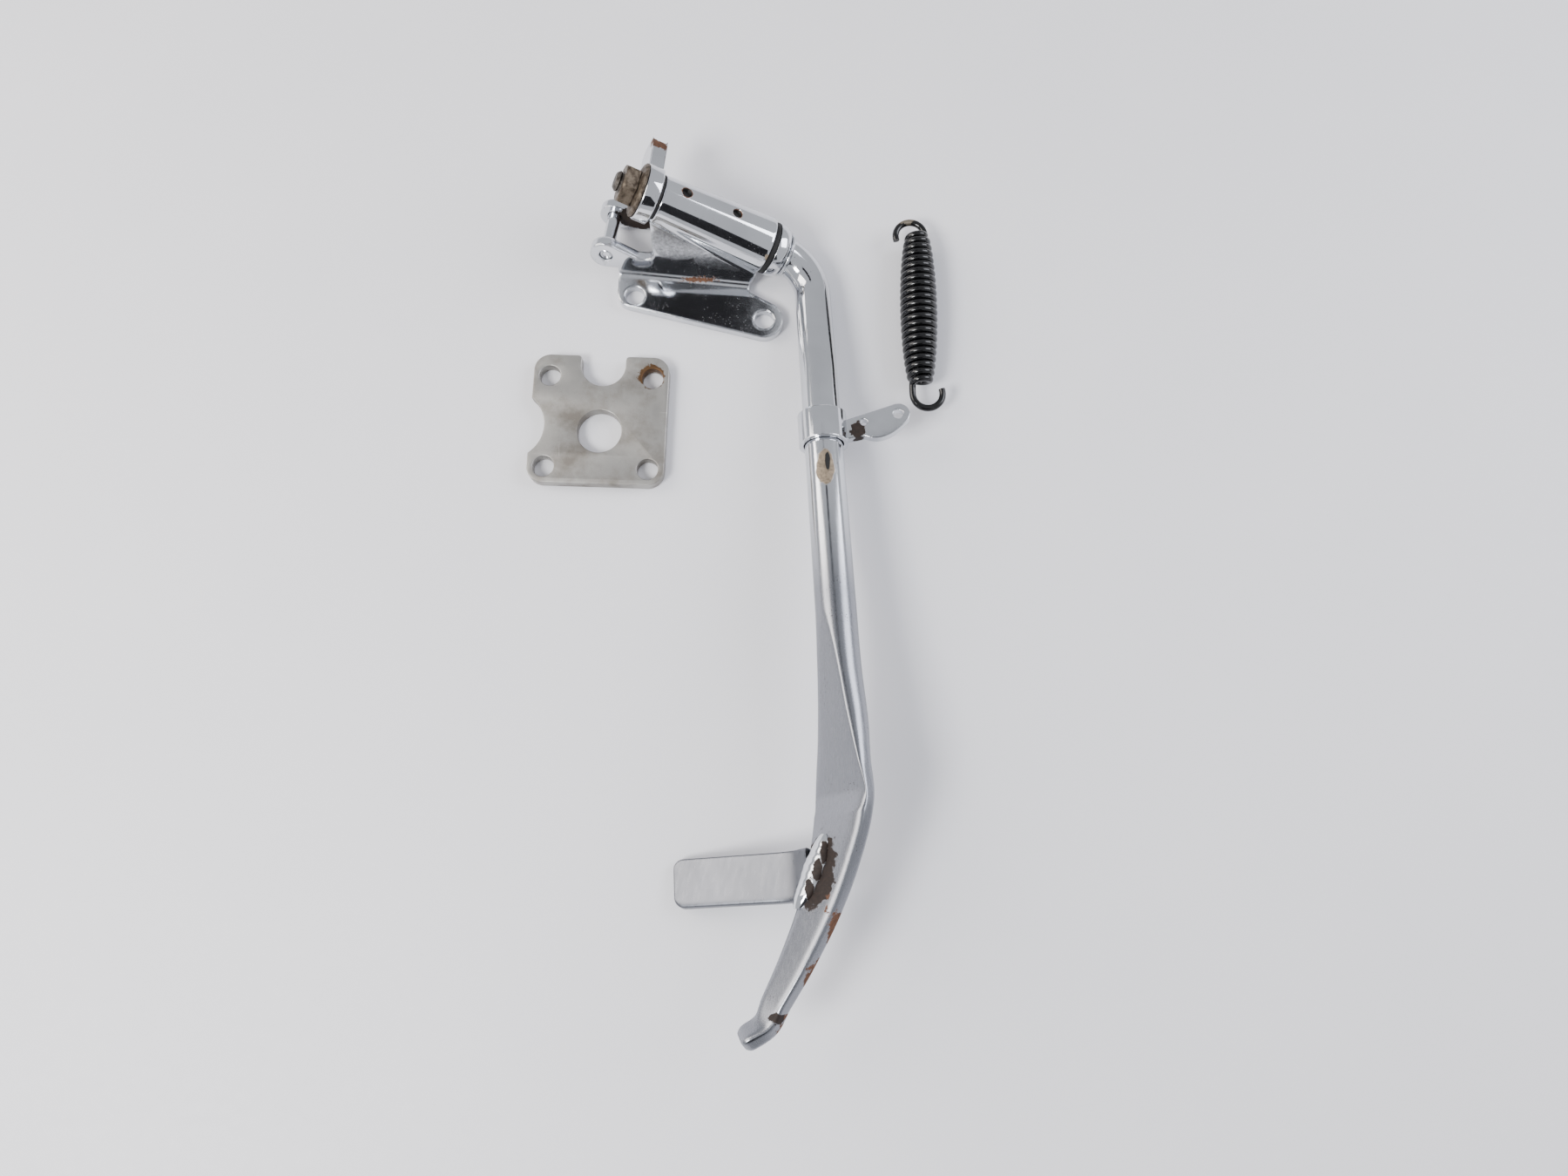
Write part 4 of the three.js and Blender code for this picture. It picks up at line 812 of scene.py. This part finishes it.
def black_paint(name, marked=()):
    """Gloss black dip over steel wire: smooth, with dust and bare scuffs on the crowns."""
    material, tree, shader = blank(name, Metallic=0.0, IOR=1.5)
    place = add(tree, "ShaderNodeTexCoord").outputs["Object"]
    dust = noise(tree, place, 300, 5.0, 0.65)
    colour = mix(tree, ramp(tree, dust, 0.55, 0.9), linear("050506"), linear("1C1B1B"))
    roughness = ramp(tree, dust, 0.35, 0.75, 0.1, 0.3)
    mask = widest(tree, *[patch(tree, place, *spot) for spot in marked])
    colour = mix(tree, mask, colour, linear("8E8577"))
    tree.links.new(colour, shader.inputs["Base Color"])
    tree.links.new(blend_value(tree, mask, roughness, 0.45), shader.inputs["Roughness"])
    tree.links.new(mask, shader.inputs["Metallic"])
    bump = add(tree, "ShaderNodeBump", {"Strength": 0.15, "Distance": 0.0002}, Height=dust)
    tree.links.new(bump.outputs["Normal"], shader.inputs["Normal"])
    return material


spring_frame = placed([108.2, 36.2, 9.3], [1, 0, 0], [0, 1, 0], [0, 0, 1])
gloss_black = black_paint("Spring dip, gloss black", [((101, 46, 9.3), (8, 4, 3), 0.3, 500)])
make("spring_wire", moved(tube(spring_path(), WIRE / 2), spring_frame), "spring", ["return_spring"],
     gloss_black, 60)

# %% [markdown]
# The spacer plate is raw hot-rolled steel: grey, scratched in every direction, blotched with old
# oil, and brown where water stood. Its sawn outline has softened edges. Its scratches are noise
# drawn out 20 to 25 times along one axis. Each could be a curve, but that many would cost more.

# %% Spacer plate
def spacer():
    """Outline from the centre hole: rounded corners, a deep notch in the far edge and a shallow one
    in the left edge."""
    left, right, low, high = -33.8, 32.4, -26.55, 38.75
    notch, side_radius, side_depth, thickness = 10.8, 17.8, 6.9, 6.35
    reach = math.degrees(math.acos((left - (left + side_depth - side_radius)) / side_radius))
    turns = [
        arc((left + 8, low + 8), 8, 180, 270), arc((right - 8, low + 8), 8, 270, 360),
        arc((right - 8, high - 8), 8, 0, 90),
        rounded([(notch + 4.5, high), (notch, high), (notch, 34)], 4, 6, closed=False),
        arc((0, 34), notch, 0, -180, 48)[1:-1],
        rounded([(-notch, 34), (-notch, high), (-notch - 4.5, high)], 4, 6, closed=False),
        arc((left + 8, high - 8), 8, 90, 180),
        arc((left + side_depth - side_radius, 2), side_radius, reach, -reach, 40),
    ]
    holes = [hole((0, 0), 10.8, 72)]
    for x in (-25.8, 24.4):
        for y in (-18.55, 27.75):
            holes.append(hole((x, y), 5.15))
    return plate(np.vstack(turns), holes, 0.0, thickness, 0.45)


def raw_steel_finish(name):
    """Raw steel: metallic 0.85, roughness 0.36 to 0.6, with stains, scratches and light rust."""
    material, tree, shader = blank(name, Metallic=0.85)
    place = add(tree, "ShaderNodeTexCoord").outputs["Object"]
    stain = noise(tree, place, 45, 6.0, 0.6)
    colour = mix(tree, ramp(tree, stain, 0.42, 0.62), linear("A3A19D"), linear("77726B"))
    rust_mask = patch(tree, place, (-22.6, -36.8, 6.35), (6.3, 6.0, 7), 0.3, 500)
    colour = mix(tree, rust_mask, colour, linear("5E4630"))
    scratch = widest(tree, *[
        ramp(tree, noise(tree, place, 500, 3.0, 0.6, stretch), 0.70, 0.76)
        for stretch in ((1.0, 0.04, 1.0), (0.05, 1.0, 1.0))
    ])
    colour = mix(tree, scratch, colour, linear("C9C7C3"))
    roughness = ramp(tree, stain, 0.3, 0.7, 0.36, 0.6)
    grain = noise(tree, place, 1500, 4.0, 0.7)
    bump = add(tree, "ShaderNodeBump", {"Strength": 0.35, "Distance": 0.0002}, Height=grain)
    tree.links.new(colour, shader.inputs["Base Color"])
    tree.links.new(roughness, shader.inputs["Roughness"])
    tree.links.new(bump.outputs["Normal"], shader.inputs["Normal"])
    return material


skew = math.radians(-1.94)
spacer_frame = placed(
    [-47.4, -64.8, 0], [math.cos(skew), math.sin(skew), 0], [-math.sin(skew), math.cos(skew), 0], [0, 0, 1]
)
make("spacer_plate", moved(spacer(), spacer_frame), "spacer", ["mounting_plate"],
     raw_steel_finish("Raw steel plate"))

# %% [markdown]
# The remaining CAD nodes keep their shape. Their edges could be bevelled, but a CAD mesh is never
# changed, so the shader rounds the light on them, and each gets the finish of its material slot.

# %% Finishes of the CAD nodes
def softened(material, radius):
    """Rounds the shading of every edge by a radius in millimetres, under the finish's own bump."""
    tree = material.node_tree
    bevel = add(tree, "ShaderNodeBevel", {"samples": 6, "Radius": radius * MM})
    for node in tree.nodes:
        if node.bl_idname == "ShaderNodeBump":
            tree.links.new(bevel.outputs["Normal"], node.inputs["Normal"])
    return material


finishes = {
    "bracket_plate": softened(chrome("Bracket chrome", pits=0.1, marked=[
        (RUST, [((0, 14.5, 6), (9, 1.1, 2.5), 0.9, 900)]),
        (PITTED, [(on(WEB, -9, 25, 0), (15, 6, 13), 0.1, 150), (on(WEB, 14, 15, 0), (18, 5, 6), 0.1, 150)]),
    ]), 1.8),
    "rear_ear_plate": softened(chrome("Rear ear chrome", marked=[
        # This dark brown patch under the stop ring is partly peeled steel and partly painted shade.
        (PEELED, [(on(WEB, -31, 13, -26), (15, 3.6, 10), 0.25)]),
    ]), 0.9),
    "spring_anchor_pin": softened(chrome("Pin chrome", gloss=0.1, pits=0.1, marked=[
        (PEELED, [((-45, 7.5, 16), (2.0, 3.0, 2.0), 0.3, 600)]),
    ]), 0.7),
    "spring_tab_collar": softened(chrome("Collar chrome", marked=[
        (PEELED, [(on(LEG, 86, 9, 90), (3.6, 5, 5), 0.35, 400)]),
    ]), 0.9),
    "shoulder_weld": softened(chrome("Weld ring chrome", gloss=0.1, haze=0.3, pits=0.2), 0.6),
    "inner_bush": grimy("Bush bronze", "8A6A3A", "54401F", 0.9, 0.35, 0.55),
    "outer_bush": grimy("Outer bush bronze", "8A6A3A", "54401F", 0.9, 0.35, 0.55),
    "dust_seal": grimy("Seal rubber", "17171A", "2B2825", 0.0, 0.6, 0.85),
    "dished_washer": softened(grimy("Zinc washer under grime", "62584C", "33291F", 0.6, 0.4, 0.7), 0.6),
    "pivot_nut": softened(grimy("Zinc nut under grime", "665B4E", "362C21", 0.6, 0.35, 0.65), 0.5),
    "threaded_stud": grimy("Dark thread", "5A5550", "2E2925", 0.7, 0.4, 0.7),
}
for node_name, material in finishes.items():
    node = frame["nodes"][node_name]
    node.data.materials.clear()
    node.data.materials.append(material)
print("finished", len(finishes), "CAD nodes")

# %% [markdown]
# The table is a plain pale sheet. Three soft panels light it: a smaller one at the near left gives
# the clearest shadow, and two large ones, right and far left, fill it. The room itself is pale and
# even, which keeps the chrome bright, and two black cards that only reflections see draw the dark
# lines on it. A painted backdrop could do that too, but it would show in the picture.

# %% Table, lamps and camera
def table():
    """A very large flat sheet just under the part, in a warm off-white with a faint grain."""
    mesh = bpy.data.meshes.new("table")
    reach, below = 3, -0.0001  # metres
    corners = [(x * reach, y * reach, below) for x, y in ((-1, -1), (1, -1), (1, 1), (-1, 1))]
    mesh.from_pydata(corners, [], [(0, 1, 2, 3)])
    sheet = bpy.data.objects.new("table", mesh)
    bpy.context.collection.objects.link(sheet)
    material, tree, shader = blank("Pale table", Metallic=0.0)
    place = add(tree, "ShaderNodeTexCoord").outputs["Object"]
    colour = mix(tree, noise(tree, place, 12, 4.0), linear("E4E3E6"), linear("DEDEE2"))
    tree.links.new(colour, shader.inputs["Base Color"])
    tree.links.new(ramp(tree, noise(tree, place, 200), 0.3, 0.7, 0.5, 0.62), shader.inputs["Roughness"])
    mesh.materials.append(material)


def panel(name, toward, distance, size, power, tone):
    """A square soft panel in a direction from the part, facing it."""
    light = bpy.data.lights.new(name, "AREA")
    light.shape, light.size, light.energy = "SQUARE", size, power
    light.color = linear(tone)[:3]
    lamp = bpy.data.objects.new(name, light)
    lamp.location = Vector(unit(toward) * distance) + Vector((0.02, -0.12, 0))
    lamp.rotation_euler = Vector(-unit(toward)).to_track_quat("-Z", "Y").to_euler()
    bpy.context.collection.objects.link(lamp)


def flag(name, middle, half_width, half_height, toward):
    """A black card that only reflections see, as a studio hangs one to draw dark lines on chrome."""
    mesh = bpy.data.meshes.new(name)
    w, h = half_width, half_height
    mesh.from_pydata([(-w, -h, 0), (w, -h, 0), (w, h, 0), (-w, h, 0)], [], [(0, 1, 2, 3)])
    card = bpy.data.objects.new(name, mesh)
    card.location = middle
    card.rotation_euler = Vector(toward).to_track_quat("Z", "Y").to_euler()
    bpy.context.collection.objects.link(card)
    material, tree, shader = blank(name + " cloth", Metallic=0.0, Roughness=1.0)
    place = add(tree, "ShaderNodeTexCoord").outputs["Object"]
    cloth = mix(tree, noise(tree, place, 8), linear("0A0A0B"), linear("1A1A1D"))
    tree.links.new(cloth, shader.inputs["Base Color"])
    mesh.materials.append(material)
    card.visible_camera = card.visible_diffuse = card.visible_shadow = False


table()
# Each panel: direction, distance and size in metres, power in watts, colour.
panel("near left", (-0.67, -0.47, 1.0), 1.4, 0.42, 20, "FFFFFF")
panel("right", (1.4, 0.38, 1.0), 1.5, 0.9, 17, "F4F6FF")
panel("far left", (-1.4, 0.4, 1.0), 1.5, 0.9, 15, "FFF8F0")
# Each card: middle, half width and half height in metres, and the way it faces.
flag("overhead flag", (-0.07, 0.28, 1.05), 0.095, 0.30, (0, -0.2, -1))
flag("near flag", (0.05, -1.1, 0.75), 0.45, 0.42, (0, 1, -0.5))
world = bpy.data.worlds.new("room")
world.use_nodes = True
background = world.node_tree.nodes["Background"]
background.inputs["Color"].default_value = linear("D9DBE0")
background.inputs["Strength"].default_value = 1.0
bpy.context.scene.world = world

# The camera looks down on the table, 12.3 degrees off vertical.
camera_data = bpy.data.cameras.new("camera")
camera_data.lens, camera_data.sensor_width = 28.0, 36.0
camera = bpy.data.objects.new("camera", camera_data)
camera.location = (0.042, -0.2645, 0.566)
camera.rotation_euler = (math.radians(12.3), 0, 0)
bpy.context.collection.objects.link(camera)
bpy.context.scene.camera = camera
